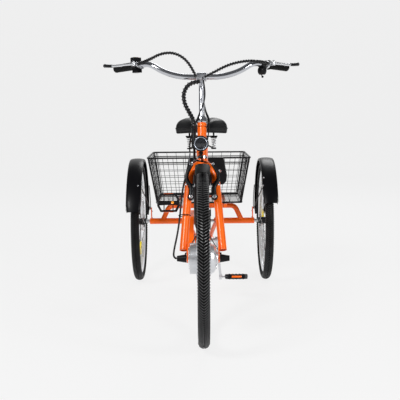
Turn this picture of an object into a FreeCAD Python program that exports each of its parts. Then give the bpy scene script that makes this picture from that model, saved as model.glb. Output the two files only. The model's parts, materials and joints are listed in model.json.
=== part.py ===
import FreeCAD, Part
import math
import os
import Sketcher

# Adult electric tricycle with one front wheel and two rear wheels.
# Frame: +Z up, the rider faces -Y, the rider's left is +X, and the ground is Z = 0.
# All lengths are millimetres and all angles are degrees.

Vector = FreeCAD.Vector
document = FreeCAD.newDocument("adult_tricycle")

SIZES = [
    ("wheel_base", 1100), ("front_axle_y", -548),
    ("front_wheel_r", 324), ("front_rim_r", 279.5),
    ("rear_wheel_r", 298.5), ("rear_rim_r", 253.5), ("rear_track", 638),
    ("tyre_width", 45), ("tyre_wall", 4.5),
    ("rim_half_width", 13), ("rim_depth", 14), ("rim_flange", 6.5), ("rim_wall", 1.8),
    ("spoke_r", 1), ("spoke_count", 36),
    ("head_angle", 70), ("fork_rake", 50), ("head_start", 402), ("head_length", 132),
    ("head_tube_r", 17.5), ("head_tube_bore_r", 15.2),
    ("steerer_r", 12.7), ("steerer_bore_r", 11.15), ("quill_r", 11.1),
    ("bar_r", 11.1), ("bar_sleeve_r", 11.3), ("bar_wall", 2), ("grip_r", 16), ("grip_length", 118),
    ("down_tube_r", 22), ("seat_tube_r", 16), ("seat_tube_bore_r", 12.75), ("seat_post_r", 12.7),
    ("bracket_y", 72), ("bracket_z", 283), ("bracket_r", 21), ("bracket_half", 34),
    ("axle_tube_r", 15), ("axle_tube_bore_r", 11), ("axle_tube_end", 265), ("axle_gap", 60),
    ("eyelet_r", 2.75),
    ("rear_axle_r", 8.5), ("rear_axle_half", 357),
    ("front_axle_r", 6), ("front_axle_half", 82),
    ("leg_r", 15), ("leg_wall", 2.5),
    ("fender_gap", 22), ("fender_half_width", 27), ("fender_thickness", 1.6),
    ("rear_fender_gap", 21.5), ("rear_fender_width", 72), ("rear_fender_skirt", 42),
    ("chain_x", -50), ("chainring_teeth", 44), ("sprocket_teeth", 18), ("chain_pitch", 12.7),
    ("crank_length", 168), ("pedal_x", 150), ("pedal_length", 104), ("pedal_width", 84),
    ("pedal_height", 26),
    ("basket_x", -14), ("basket_rim_z", 639), ("basket_floor_z", 421), ("basket_rim_width", 486),
    ("basket_floor_width", 410), ("basket_rim_front", 268), ("basket_rim_back", 752),
    ("basket_floor_front", 299), ("basket_floor_back", 702), ("wire", 3),
    ("hoop_z", 376), ("hoop_half", 200), ("hoop_r", 12.5),
    ("saddle_y", 250), ("saddle_z", 756), ("saddle_width", 240), ("saddle_length", 268),
    ("saddle_height", 78),
    ("battery_x", 20), ("battery_width", 192), ("battery_depth", 46), ("battery_height", 126),
    ("battery_z", 516), ("port_r", 4),
    ("light_r", 29), ("light_length", 50), ("light_x", -5),
    ("cable_r", 2.6), ("loom_r", 6), ("bundle_r", 10), ("running_gap", 0.05),
]


def make_sheet():
    """Put every driving dimension in the spreadsheet, one aliased cell each."""
    sheet = document.addObject("Spreadsheet::Sheet", "sizes")
    for row, (alias, value) in enumerate(SIZES, start=1):
        sheet.set(f"A{row}", alias)
        sheet.set(f"B{row}", str(value))
        sheet.setAlias(f"B{row}", alias)
    document.recompute()
    return sheet


SHEET = make_sheet()
NODES = []


def value(expression):
    """Work out an expression of the sheet's aliases, such as 'bar_r * 2'."""
    return float(SHEET.evalExpression(str(expression)))


def bound(expression):
    """The same expression as other objects have to write it, with the sheet's name."""
    words = str(expression)
    for alias in sorted((alias for alias, _ in SIZES), key=len, reverse=True):
        words = words.replace(alias, "@" + alias[::-1] + "@")
    pieces = words.split("@")
    return "".join("sizes." + piece[::-1] if index % 2 else piece for index, piece in enumerate(pieces))


def node(item, label):
    """Name a finished sub-part, which is also its file's name."""
    item.Label = label
    NODES.append(item)
    return item


def place(item, position=(0, 0, 0), axis=(0, 0, 1), spin=0):
    """Stand an object's own Z along axis with its origin at position."""
    turn = FreeCAD.Rotation(Vector(0, 0, 1), Vector(*axis))
    turn = turn.multiply(FreeCAD.Rotation(Vector(0, 0, 1), spin))
    item.Placement = FreeCAD.Placement(Vector(*position), turn)
    return item


def cylinder(name, radius, length, position, axis=(0, 0, 1), centred=False):
    item = document.addObject("Part::Cylinder", name)
    item.setExpression("Radius", bound(radius))
    item.setExpression("Height", bound(length))
    start = Vector(*position)
    if centred:
        start = start - unit(axis) * (value(length) / 2)
    return place(item, tuple(start), axis)


def torus(name, large_radius, small_radius, position, axis):
    item = document.addObject("Part::Torus", name)
    item.setExpression("Radius1", bound(large_radius))
    item.setExpression("Radius2", bound(small_radius))
    return place(item, position, axis)


def box(name, sizes, centre, axes=None):
    """A box of three expressions about its centre; axes are its own X and Z in the world."""
    item = document.addObject("Part::Box", name)
    for side, expression in zip(("Length", "Width", "Height"), sizes):
        item.setExpression(side, bound(expression))
    half = Vector(*[value(expression) / 2 for expression in sizes])
    turn = FreeCAD.Rotation()
    if axes:
        along, up = unit(axes[0]), unit(axes[1])
        turn = FreeCAD.Rotation(along, up.cross(along), up, "ZXY")
    item.Placement = FreeCAD.Placement(Vector(*centre) - turn.multVec(half), turn)
    return item


def fuse(name, items):
    item = document.addObject("Part::MultiFuse", name)
    item.Shapes = items
    return item


def cut(name, base, tool):
    item = document.addObject("Part::Cut", name)
    item.Base = base
    item.Tool = tool
    return item


def group(name, items):
    item = document.addObject("Part::Compound", name)
    item.Links = items
    return item


def solid(name, shape):
    item = document.addObject("Part::Feature", name)
    item.Shape = shape
    return item


def sketch_on(body, role, outline):
    """A closed sketch of straight sides whose corners are bound to the sheet."""
    plane = [item for item in body.Origin.OriginFeatures if item.Role == role][0]
    sketch = body.newObject("Sketcher::SketchObject", body.Name + "_outline")
    sketch.AttachmentSupport = (plane, [""])
    sketch.MapMode = "FlatFace"
    corners = [(value(first), value(second)) for first, second in outline]
    count = len(corners)
    for index in range(count):
        start, end = corners[index], corners[(index + 1) % count]
        sketch.addGeometry(Part.LineSegment(Vector(*start, 0), Vector(*end, 0)), False)
    for index in range(count):
        sketch.addConstraint(Sketcher.Constraint("Coincident", index, 2, (index + 1) % count, 1))
    for index, corner in enumerate(corners):
        for kind, other_axis, place_value, expression in (
                ("DistanceX", -2, corner[0], outline[index][0]),
                ("DistanceY", -1, corner[1], outline[index][1])):
            if abs(place_value) < 1e-9:
                sketch.addConstraint(Sketcher.Constraint("PointOnObject", index, 1, other_axis))
            elif place_value > 0:
                row = sketch.addConstraint(Sketcher.Constraint(kind, -1, 1, index, 1, place_value))
                sketch.setExpression(f"Constraints[{row}]", bound(expression))
            else:
                row = sketch.addConstraint(Sketcher.Constraint(kind, index, 1, -1, 1, -place_value))
                sketch.setExpression(f"Constraints[{row}]", f"-({bound(expression)})")
    return sketch


def turned(name, outline, position, axis, angle=360, spin=0):
    """A body turned about its own Z from an outline of (radius, height along the axis)."""
    body = document.addObject("PartDesign::Body", name)
    sketch = sketch_on(body, "XZ_Plane", outline)
    document.recompute()
    feature = body.newObject("PartDesign::Revolution", name + "_turn")
    feature.Profile = sketch
    feature.ReferenceAxis = (sketch, ["V_Axis"])
    feature.Angle = angle
    return place(body, position, axis, spin)


def turned_arc(name, outline, centre, side, front_turn, back_turn):
    """A body turned about the axle, from front_turn ahead of its top to back_turn behind it."""
    body = turned(name, outline, centre, (side, 0, 0), front_turn + back_turn)
    first = math.radians(-back_turn if side > 0 else front_turn)
    start, axis = Vector(0, -math.sin(first), math.cos(first)), Vector(side, 0, 0)
    turn = FreeCAD.Rotation(start, axis.cross(start), axis, "ZXY")
    body.Placement = FreeCAD.Placement(Vector(*centre), turn)
    return body


def unit(vector):
    vector = Vector(*vector)
    return vector.normalize()


def rounded_path(points, radii=None):
    """Straight runs joined by tangent arcs, each as large as its two runs allow."""
    points = [Vector(*point) for point in points]
    edges, start = [], points[0]
    for index in range(1, len(points) - 1):
        before, corner, after = points[index - 1:index + 2]
        inward, outward = (corner - before), (after - corner)
        turn = inward.getAngle(outward)
        reach = 0.45 * min(inward.Length, outward.Length)
        radius = reach / math.tan(turn / 2)
        if radii and radii.get(index):
            radius = min(radius, radii[index])
            reach = radius * math.tan(turn / 2)
        inward.normalize()
        outward.normalize()
        first, last = corner - inward * reach, corner + outward * reach
        bisector = (outward - inward).normalize()
        middle = corner + bisector * (radius / math.cos(turn / 2) - radius)
        edges.append(Part.LineSegment(start, first).toShape())
        edges.append(Part.Arc(first, middle, last).toShape())
        start = last
    edges.append(Part.LineSegment(start, points[-1]).toShape())
    return Part.Wire(edges)


def tube(points, radius, radii=None):
    """A round bar along a rounded path."""
    path = rounded_path(points, radii)
    start = Vector(*points[0])
    direction = Vector(*points[1]) - start
    ring = Part.Wire([Part.makeCircle(radius, start, direction)])
    shape = path.makePipeShell([ring], True, True)
    expected = path.Length * math.pi * radius ** 2
    if abs(shape.Volume - expected) > 0.01 * expected:
        raise ValueError(f"a tube of {radius} mm came out at {shape.Volume / expected:.3f} of its volume")
    return shape


def straight(start, end, radius):
    start, end = Vector(*start), Vector(*end)
    return Part.makeCylinder(radius, (end - start).Length, start, end - start)


# Places that the sub-parts share.
LEFT, RIGHT = 1, -1
SIDES = ((LEFT, "left"), (RIGHT, "right"))
FRONT_AXLE = (0, value("front_axle_y"), value("front_wheel_r"))
REAR_AXLE = (0, value("front_axle_y + wheel_base"), value("rear_wheel_r"))
BRACKET = (0, value("bracket_y"), value("bracket_z"))
HEAD_TURN = math.radians(value("head_angle"))
STEER_UP = Vector(0, math.cos(HEAD_TURN), math.sin(HEAD_TURN))
STEER_FORWARD = Vector(0, -math.sin(HEAD_TURN), math.cos(HEAD_TURN))
STEER_ORIGIN = Vector(*FRONT_AXLE) - STEER_FORWARD * value("fork_rake")
HEAD_START = value("head_start")
HEAD_END = HEAD_START + value("head_length")
X_AXIS = (1, 0, 0)


def steer(x, forward, up):
    """A point from its distances across, ahead of and along the steering axis."""
    return tuple(STEER_ORIGIN + Vector(x, 0, 0) + STEER_FORWARD * forward + STEER_UP * up)


def steer_height(point):
    return (Vector(*point) - STEER_ORIGIN).dot(STEER_UP)


BAR_END = (345, -140, 1030)
BAR_BEND = (200, -297, 1040)
BAR_CENTRE = (0, -320, 987)
BAR_POINTS = [(78, *BAR_CENTRE[1:]), (145, -316, 1006), BAR_BEND, BAR_END]
BAR_RUN = unit(tuple(Vector(*BAR_END) - Vector(*BAR_BEND)))


def bar_axes(side):
    """Along the grip outwards, ahead of the grip, and up from it."""
    along = Vector(side * BAR_RUN.x, BAR_RUN.y, BAR_RUN.z)
    ahead = unit((side * BAR_RUN.y, -BAR_RUN.x, 0))
    above = along.cross(ahead) * (-side)
    if above.z < 0:
        above = above * -1
    return along, ahead, above


def at_bar(side, inboard, ahead=0, above=0):
    """A point by its distances in from the grip's end, ahead of the bar and above it."""
    along, forward, up = bar_axes(side)
    end = Vector(side * BAR_END[0], BAR_END[1], BAR_END[2])
    return tuple(end - along * inboard + forward * ahead + up * above)


# ---------------------------------------------------------------- wheels

def make_tyre(label, centre, wheel_r, rim_r):
    """A hollow tyre whose beads sit between the rim's flanges."""
    bead_half, flange_top = 11.1, f"{rim_r} + rim_flange + 0.1"
    casing = torus(label + "_casing", f"{wheel_r} - tyre_width / 2", "tyre_width / 2", centre, X_AXIS)
    air = torus(label + "_air", f"{wheel_r} - tyre_width / 2", "tyre_width / 2 - tyre_wall",
                centre, X_AXIS)
    mouth = cylinder(label + "_mouth", f"{rim_r} + 3", "15", centre, X_AXIS, True)
    sides = []
    for side, word in SIDES:
        start = (centre[0] + side * bead_half, centre[1], centre[2])
        sides.append(cylinder(f"{label}_{word}_seat", flange_top, "40", start, (side, 0, 0)))
    return node(cut(label, casing, fuse(label + "_tools", [air, mouth] + sides)), label)


def make_rim(label, centre, rim_r):
    half, deep, lip = "rim_half_width", f"{rim_r} - rim_depth", f"{rim_r} + rim_flange"
    inside = "rim_half_width - rim_wall"
    upper = [(deep, "9"), (f"{rim_r} - 7", half), (lip, half), (lip, inside),
             (f"{rim_r} - 0.5", inside), (f"{rim_r} - 4.5", "7.5")]
    lower = [(radius, f"-({across})") for radius, across in reversed(upper)]
    return node(turned(label, upper + lower, centre, X_AXIS), label)


def make_spokes(label, centre, rim_r, flange_r, flange_half, crossing):
    """Crossed spokes, alternately to each flange and from its two faces."""
    count = int(value("spoke_count"))
    rim_inner = value(rim_r) - value("rim_depth") - 0.15
    elbow, centre = 3.7, Vector(*centre)
    spokes = []
    for index in range(count):
        side = 1 if index % 2 else -1
        lead = 1 if (index // 2) % 2 else -1
        rim_turn = math.radians(360 * index / count)
        hub_turn = rim_turn + lead * math.radians(crossing)
        hub_x = side * (flange_half + lead * elbow)
        start = Vector(hub_x, flange_r * math.cos(hub_turn), flange_r * math.sin(hub_turn))
        end = Vector(side * 3, rim_inner * math.cos(rim_turn), rim_inner * math.sin(rim_turn))
        spokes.append(straight(centre + start, centre + end, value("spoke_r")))
    return node(solid(label, Part.makeCompound(spokes)), label)


def make_front_wheel():
    make_tyre("front_tyre", FRONT_AXLE, "front_wheel_r", "front_rim_r")
    make_rim("front_rim", FRONT_AXLE, "front_rim_r")
    make_spokes("front_spokes", FRONT_AXLE, "front_rim_r", 70, 20, 22)
    bore = "front_axle_r + running_gap"
    outline = [(bore, "-53"), ("30", "-53"), ("34", "-50"), ("56.5", "-49"), ("56.5", "-26"),
               ("66", "-26"), ("66", "-21.5"), ("74", "-21.5"), ("74", "-18.5"), ("68", "-18.5"),
               ("68", "18.5"), ("74", "18.5"), ("74", "21.5"), ("66", "21.5"), ("66", "26"),
               ("56.5", "28"), ("52", "38"), ("40", "46"), ("24", "49"), ("22", "53"), (bore, "53")]
    node(turned("hub_motor", outline, FRONT_AXLE, X_AXIS), "hub_motor")


def make_rear_wheel(side, word):
    centre = (side * value("rear_track") / 2, REAR_AXLE[1], REAR_AXLE[2])
    make_tyre(f"{word}_rear_tyre", centre, "rear_wheel_r", "rear_rim_r")
    make_rim(f"{word}_rear_rim", centre, "rear_rim_r")
    make_spokes(f"{word}_rear_spokes", centre, "rear_rim_r", 27, 24, 40)
    bore = "rear_axle_r + running_gap" if side == LEFT else "rear_axle_r"
    label = f"{word}_rear_hub"
    outline = [(bore, "-33"), ("15", "-33"), ("17", "-25.5"), ("31", "-25.5"), ("31", "-22.5"),
               ("19", "-20"), ("17", "0"), ("19", "20"), ("31", "22.5"), ("31", "25.5"),
               ("17", "25.5"), ("15", "30"), (bore, "30")]
    node(turned(label, outline, centre, (side, 0, 0)), label)


def make_rear_axle():
    """The live axle with its nuts, and the band brake's drum keyed to it."""
    shaft = cylinder("rear_shaft", "rear_axle_r", "rear_axle_half * 2", REAR_AXLE, X_AXIS, True)
    drum = cylinder("brake_drum_blank", "40", "22", (28, *REAR_AXLE[1:]), X_AXIS, True)
    nuts = []
    for side, word in SIDES:
        start = (side * value("rear_track / 2 + 30.3"), REAR_AXLE[1], REAR_AXLE[2])
        nuts.append(cylinder(f"{word}_axle_nut", "13", "9", start, (side, 0, 0)))
    node(fuse("rear_axle_all", [shaft, drum] + nuts), "rear_axle")


# ---------------------------------------------------------------- frame

SEAT_TOP = (0, 187.4, 600)
BATTERY_FRONT = 218


def make_main_frame():
    """Head tube, curved down tube, seat tube and bottom bracket shell, welded."""
    head = straight(steer(0, 0, HEAD_START), steer(0, 0, HEAD_END), value("head_tube_r"))
    head_bore = straight(steer(0, 0, HEAD_START - 5), steer(0, 0, HEAD_END + 5),
                         value("head_tube_bore_r"))
    down_points = [steer(0, 0, HEAD_START + 42), (0, -122, 418), (0, BRACKET[1] - 6, BRACKET[2])]
    down = tube(down_points, value("down_tube_r"))
    down_bore = tube(down_points, value("down_tube_r") - 2.5)
    seat = straight(BRACKET, SEAT_TOP, value("seat_tube_r"))
    past_top = tuple(Vector(*SEAT_TOP) + unit(tuple(Vector(*SEAT_TOP) - Vector(*BRACKET))) * 5)
    seat_bore = straight(BRACKET, past_top, value("seat_tube_bore_r"))
    half = value("bracket_half")
    shell = straight((-half, *BRACKET[1:]), (half, *BRACKET[1:]), value("bracket_r"))
    shell_bore = straight((-half - 5, *BRACKET[1:]), (half + 5, *BRACKET[1:]),
                          value("bracket_r") - 3)
    brace = straight((0, -96, 402), (0, 112, 398), 11)
    shape = head.fuse([down, seat, shell, brace])
    shape = shape.cut([head_bore, down_bore, seat_bore, shell_bore])
    node(solid("main_frame", shape.removeSplitter()), "main_frame")


def make_rear_frame():
    """The axle tubes with their uprights, stays, spine, carrier hoop, rails and tabs."""
    y, z = REAR_AXLE[1:]
    hoop_z, rail_z = value("hoop_z"), value("basket_floor_z") - 12
    tube_r, gap, end = value("axle_tube_r"), value("axle_gap"), value("axle_tube_end")
    pieces, bores = [], []
    for side, _ in SIDES:
        pieces.append(straight((side * gap, y, z), (side * end, y, z), tube_r))
        bores.append(straight((side * (gap - 5), y, z), (side * (end + 5), y, z),
                              value("axle_tube_bore_r")))
        pieces.append(straight((side * 30, 105, 284), (side * 72, y - 4, z - 2), 10))
        pieces.append(straight((side * 76, y, z + 6), (side * 76, y, hoop_z), 10))
        pieces.append(straight((side * 110, 290, rail_z), (side * 110, 690, rail_z), 8))
        pieces.append(straight((side * 110, y, rail_z), (side * 110, y, hoop_z), 7))
        pieces.append(Part.makeBox(5, 18, 62, Vector(side * 257 - 2.5, y - 9, z + 8)))
        bores.append(straight((side * 250, y, z + 32), (side * 264, y, z + 32), value("eyelet_r")))
    half = value("hoop_half")
    hoop = [(-half, y, z + 4), (-half + 34, y, hoop_z), (half - 34, y, hoop_z), (half, y, z + 4)]
    pieces.append(tube(hoop, value("hoop_r"), {1: 34, 2: 34}))
    pieces.append(straight((0, 142, 398), (0, y, hoop_z), 13))
    pieces.append(straight((-110, 360, rail_z), (110, 360, rail_z), 7))
    pieces.append(straight((-110, 676, rail_z), (110, 676, rail_z), 7))
    pieces.append(straight((0, 360, 386), (0, 360, rail_z), 7))
    pieces.append(straight((-44, 150, 285.5), (44, 150, 285.5), 8))
    shape = pieces[0].fuse(pieces[1:]).cut(bores)
    shape = shape.cut(straight(BRACKET, SEAT_TOP, value("seat_tube_r") + 0.02))
    node(solid("rear_frame", shape.removeSplitter()), "rear_frame")


def make_headset():
    """Lower and upper cups in the head tube; the lower one stands on the crown race."""
    lower = turned("lower_cup", [("steerer_r + running_gap", "0"), ("20", "0"), ("21", "8"),
                                 ("18", "11.8"), ("steerer_r + running_gap", "11.8")],
                   steer(0, 0, HEAD_START - 11.9), tuple(STEER_UP))
    upper = turned("upper_cup", [("steerer_r + running_gap", "0.1"), ("18", "0.1"), ("21", "4"),
                                 ("20", "13"), ("steerer_r + running_gap", "13")],
                   steer(0, 0, HEAD_END), tuple(STEER_UP))
    node(group("headset", [lower, upper]), "headset_cups")


def make_frame_bearings():
    """Bottom bracket cups and the rear axle's four bearings."""
    items = []
    for side, word in SIDES:
        start = (side * (value("bracket_half") - 14), BRACKET[1], BRACKET[2])
        cup = [("8.5 + running_gap", "0"), ("bracket_r - 3", "0"), ("bracket_r - 3", "14"),
               ("bracket_r - 1", "14.1"), ("bracket_r - 1", "17"), ("8.5 + running_gap", "17")]
        items.append(turned(f"{word}_bracket_cup", cup, start, (side, 0, 0)))
        for place_word, inset in (("inner", value("axle_gap")), ("outer", value("axle_tube_end") - 12)):
            ring = [("rear_axle_r + running_gap", "0"), ("axle_tube_bore_r", "0"),
                    ("axle_tube_bore_r", "12"), ("rear_axle_r + running_gap", "12")]
            start = (side * inset, REAR_AXLE[1], REAR_AXLE[2])
            items.append(turned(f"{word}_{place_word}_bearing", ring, start, (side, 0, 0)))
    node(group("bearings", items), "frame_bearings")


def make_seat_clamp():
    """The collar round the seat tube, and its bolt."""
    along = unit(tuple(Vector(*SEAT_TOP) - Vector(*BRACKET)))
    base = tuple(Vector(*SEAT_TOP) - along * 16)
    collar = cut("seat_collar_ring",
                 cylinder("seat_collar_blank", "seat_tube_r + 4", "15", base, tuple(along)),
                 cylinder("seat_collar_hole", "seat_tube_r", "40",
                          tuple(Vector(*base) - along * 10), tuple(along)))
    middle = Vector(*base) + along * 7.5 + Vector(0, -24, 9)
    bolt = cylinder("seat_bolt", "3", "30", tuple(middle), X_AXIS, True)
    node(group("seat_clamp_pieces", [collar, bolt]), "seat_clamp")


def make_battery():
    """A rounded case that hangs behind the seat tube on a bracket, with a charging port in its side."""
    width, depth, height = value("battery_width"), value("battery_depth"), value("battery_height")
    half = width / 2
    outline = [(-half + 15, height), (-half, 44), (-half + 3, 15), (-half + 17, 0),
               (half - 17, 0), (half - 3, 15), (half, 44), (half - 15, height)]
    points = [(str(across), str(up)) for across, up in outline]
    blank = document.addObject("PartDesign::Body", "battery_blank")
    sketch = sketch_on(blank, "XZ_Plane", points)
    document.recompute()
    pad = blank.newObject("PartDesign::Pad", "battery_pad")
    pad.Profile = sketch
    pad.setExpression("Length", bound("battery_depth"))
    place(blank, (value("battery_x"), BATTERY_FRONT + depth, value("battery_z")))
    document.recompute()
    rounded = document.addObject("Part::Fillet", "battery_rounded")
    rounded.Base = blank
    rounded.Edges = [(index + 1, 7.0, 7.0) for index in range(len(blank.Shape.Edges))]
    port = cylinder("charge_port", "port_r", "20", (98, BATTERY_FRONT + 23, 545), X_AXIS)
    recess = cylinder("charge_port_recess", "port_r + 3", "10", (110, BATTERY_FRONT + 23, 545), X_AXIS)
    recessed = cut("battery_recessed", rounded, recess)
    node(cut("battery_with_port", recessed, port), "battery_case")


def make_chain_guard():
    """A cover round the front of the chainring and back along the chain's upper run."""
    y, z = BRACKET[1:]
    inner_x, outer_x, wall = -38, -63, 1.8
    reach, open_r, tail, strip_height = 112, 84, 168, 52
    along_x = Vector(1, 0, 0)
    shapes = []
    for thin in (0, wall):
        start_x, wide = outer_x + thin, inner_x - outer_x
        drum = Part.makeCylinder(reach - thin, wide, Vector(start_x, y, z), along_x)
        corner = Vector(start_x, y, z + reach - strip_height)
        strip = Part.makeBox(wide, tail + thin, strip_height - thin, corner)
        shapes.append(drum.fuse(strip))
    cover = shapes[0].cut(shapes[1])
    front = Part.makeBox(60, 300, 300, Vector(-90, y - 280, z - 22))
    upper = Part.makeBox(60, 400, 60, Vector(-90, y - 60, z + reach - strip_height))
    cover = cover.common(front.fuse(upper))
    cover = cover.cut(Part.makeCylinder(open_r, 90, Vector(-100, y, z), along_x))
    node(solid("chain_guard", cover.removeSplitter()), "chain_guard")


def make_chain():
    """Two rows of link plates round the chainring and the sprocket."""
    y1, z1 = BRACKET[1:]
    y2, z2 = REAR_AXLE[1:]
    big, small = pitch_radius("chainring_teeth"), pitch_radius("sprocket_teeth")
    loops = []
    for reach in (3.9, -3.9):
        front = Part.makeCylinder(big + reach, 2, Vector(0, y1, z1), Vector(1, 0, 0))
        back = Part.makeCylinder(small + reach, 2, Vector(0, y2, z2), Vector(1, 0, 0))
        span = Vector(0, y2 - y1, z2 - z1)
        tilt = math.asin((big - small) / span.Length)
        base_turn = math.atan2(span.z, span.y)
        corners = []
        for centre, radius, sign in (((y1, z1), big + reach, 1), ((y2, z2), small + reach, 1),
                                     ((y2, z2), small + reach, -1), ((y1, z1), big + reach, -1)):
            turn = base_turn + sign * (math.pi / 2 - tilt)
            corners.append(Vector(0, centre[0] + radius * math.cos(turn),
                                  centre[1] + radius * math.sin(turn)))
        face = Part.Face(Part.makePolygon(corners + [corners[0]]))
        loops.append(front.fuse([back, face.extrude(Vector(2, 0, 0))]).removeSplitter())
    band = loops[0].cut(loops[1])
    rows = []
    for offset in (-3.6, 1.6):
        row = band.copy()
        row.translate(Vector(value("chain_x") + offset, 0, 0))
        rows.append(row)
    node(solid("chain", Part.makeCompound(rows)), "chain")


def make_rear_brake():
    """The band brake's fixed shell round the drum, with its arm to the axle tube."""
    y, z = REAR_AXLE[1:]
    shell = Part.makeCylinder(47, 26, Vector(17, y, z), Vector(1, 0, 0))
    shell = shell.cut(Part.makeCylinder(43, 24, Vector(15, y, z), Vector(1, 0, 0)))
    shell = shell.cut(Part.makeCylinder(13, 40, Vector(15, y, z), Vector(1, 0, 0)))
    arm = Part.makeBox(3, 16, 62, Vector(43, y + 20, z + 20))
    lug = Part.makeBox(27, 14, 12, Vector(17, y - 7, z + 44))
    node(solid("rear_brake_band", shell.fuse([arm, lug])), "rear_brake_band")


REAR_FENDER_BACK = 92


def make_rear_fender(side, word, front_turn):
    """A mudguard with an outer skirt, and the two wire stays that carry it."""
    centre = (side * value("rear_track") / 2, REAR_AXLE[1], REAR_AXLE[2])
    top = "rear_wheel_r + rear_fender_gap"
    wide, thin, skirt = "rear_fender_width / 2 + 5", "fender_thickness", "rear_fender_skirt"
    inner_edge = "-(rear_fender_width / 2 - 5)"
    outline = [(f"{top} - 16", inner_edge), (f"{top} - 4", inner_edge),
               (top, f"{inner_edge} + 8"), (top, f"{wide} - 9"), (f"{top} - 9", wide),
               (f"{top} - {skirt}", wide), (f"{top} - {skirt}", f"{wide} - {thin}"),
               (f"{top} - 9.6", f"{wide} - {thin}"), (f"{top} - {thin}", f"{wide} - 9.6"),
               (f"{top} - {thin}", f"{inner_edge} + 8.6"),
               (f"{top} - 4.6", f"{inner_edge} + {thin}"), (f"{top} - 16", f"{inner_edge} + {thin}")]
    blade = turned_arc(f"{word}_fender_blade", outline, centre, side, front_turn, REAR_FENDER_BACK)
    inner_x = side * (value("rear_track") / 2 - value("rear_fender_width") / 2 + 5 - 3.3)
    radius = value(top) - 10
    stays = []
    for name, turn in (("front", 38), ("back", -38)):
        angle = math.radians(turn)
        upper = (inner_x, centre[1] - radius * math.sin(angle), centre[2] + radius * math.cos(angle))
        offset = -6 if turn > 0 else 6
        tab_x = side * 262.6
        lower = (tab_x, centre[1] + offset, centre[2] + 62)
        knee = (tab_x + side * 3, lower[1] * 0.6 + upper[1] * 0.4, lower[2] * 0.6 + upper[2] * 0.4)
        stays.append(solid(f"{word}_{name}_stay", tube([lower, knee, upper], 3)))
    node(group(f"{word}_rear_fender_pieces", [blade] + stays), f"{word}_rear_fender")


def make_basket():
    """Five wire panels, a rim rod and corner rods: an open-topped carrying basket."""
    wire = value("wire")
    top_z, low_z = value("basket_rim_z"), value("basket_floor_z")
    top = rectangle("basket_rim_width", "basket_rim_front", "basket_rim_back", top_z)
    low = rectangle("basket_floor_width", "basket_floor_front", "basket_floor_back", low_z)
    outer = Part.makeLoft([Part.makePolygon(low + low[:1]), Part.makePolygon(top + top[:1])], True)
    top_in = inset(top, wire)
    low_in = inset(low, wire)
    inner = Part.makeLoft([Part.makePolygon(low_in + low_in[:1]),
                           Part.makePolygon(top_in + top_in[:1])], True)
    walls = outer.cut(inner)
    slabs = []
    for index in range(4):
        outward = (top[index] - top_in[index]) * 12
        base = low_in[index] - outward * 0.5 - Vector(0, 0, 5)
        quad = [base, base + outward * 1.5, top_in[index] + outward + Vector(0, 0, 9),
                top_in[index] - outward * 0.5 + Vector(0, 0, 9)]
        side = outward.cross(Vector(0, 0, 1)).normalize() * 0.1
        face = Part.Face(Part.makePolygon([corner - side for corner in quad] + [quad[0] - side]))
        slabs.append(face.extrude(side * 2))
    walls = walls.cut(slabs)
    walls = walls.cut(wall_windows())
    floor = Part.makeLoft([Part.makePolygon(ring + ring[:1]) for ring in floor_rings(low_in, wire)],
                          True)
    floor = floor.cut(floor_windows(low_in, low_z, wire))
    panels = Part.makeCompound(walls.Solids + floor.Solids)
    panels.translate(Vector(value("basket_x"), 0, 0))
    node(solid("rear_basket", panels), "rear_basket")


def rectangle(width, front, back, height):
    half = value(width) / 2
    return [Vector(-half, value(front), height), Vector(half, value(front), height),
            Vector(half, value(back), height), Vector(-half, value(back), height)]


def inset(corners, amount):
    signs = [(1, 1), (-1, 1), (-1, -1), (1, -1)]
    return [corner + Vector(x * amount, y * amount, 0) for corner, (x, y) in zip(corners, signs)]


def floor_rings(low_in, wire):
    inner = inset(low_in, 0.3)
    return [inner, [corner + Vector(0, 0, wire) for corner in inner]]


def wall_windows():
    """Openings between the wires of all four walls, cut right through opposite walls."""
    rows, gap, wire = 6, 5.0, value("wire")
    low_z, top_z = value("basket_floor_z"), value("basket_rim_z")
    height = (top_z - low_z - 2 * gap) / rows
    middle_y = (value("basket_rim_front") + value("basket_rim_back")) / 2
    tools = []
    for row in range(rows):
        z = low_z + gap + row * height
        share = (z - low_z) / (top_z - low_z)
        half_x = value("basket_floor_width") / 2 * (1 - share) + value("basket_rim_width") / 2 * share
        front = value("basket_floor_front") * (1 - share) + value("basket_rim_front") * share
        back = value("basket_floor_back") * (1 - share) + value("basket_rim_back") * share
        spans = ((half_x - 8, 0, 9), ((back - front) / 2 - 8, 1, 8))
        for half, direction, columns in spans:
            step = 2 * half / columns
            for column in range(columns):
                start = -half + column * step
                if direction == 0:
                    corner, size = (start, middle_y - 300, z), (step - wire, 600, height - wire)
                else:
                    centre_y = (front + back) / 2
                    corner, size = (-300, centre_y + start, z), (600, step - wire, height - wire)
                tools.append(Part.makeBox(*size, Vector(*corner)))
    return tools


def floor_windows(low_in, low_z, wire):
    tools, columns, rows, edge = [], 8, 8, 6
    start, end = low_in[0], low_in[2]
    step_x = (end.x - start.x - 2 * edge) / columns
    step_y = (end.y - start.y - 2 * edge) / rows
    for column in range(columns):
        for row in range(rows):
            corner = Vector(start.x + edge + column * step_x + wire / 2,
                            start.y + edge + row * step_y + wire / 2, low_z - 5)
            tools.append(Part.makeBox(step_x - wire, step_y - wire, 20, corner))
    return tools


# ---------------------------------------------------------------- seat

SPRING_X, SPRING_Y = 57, 316


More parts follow.
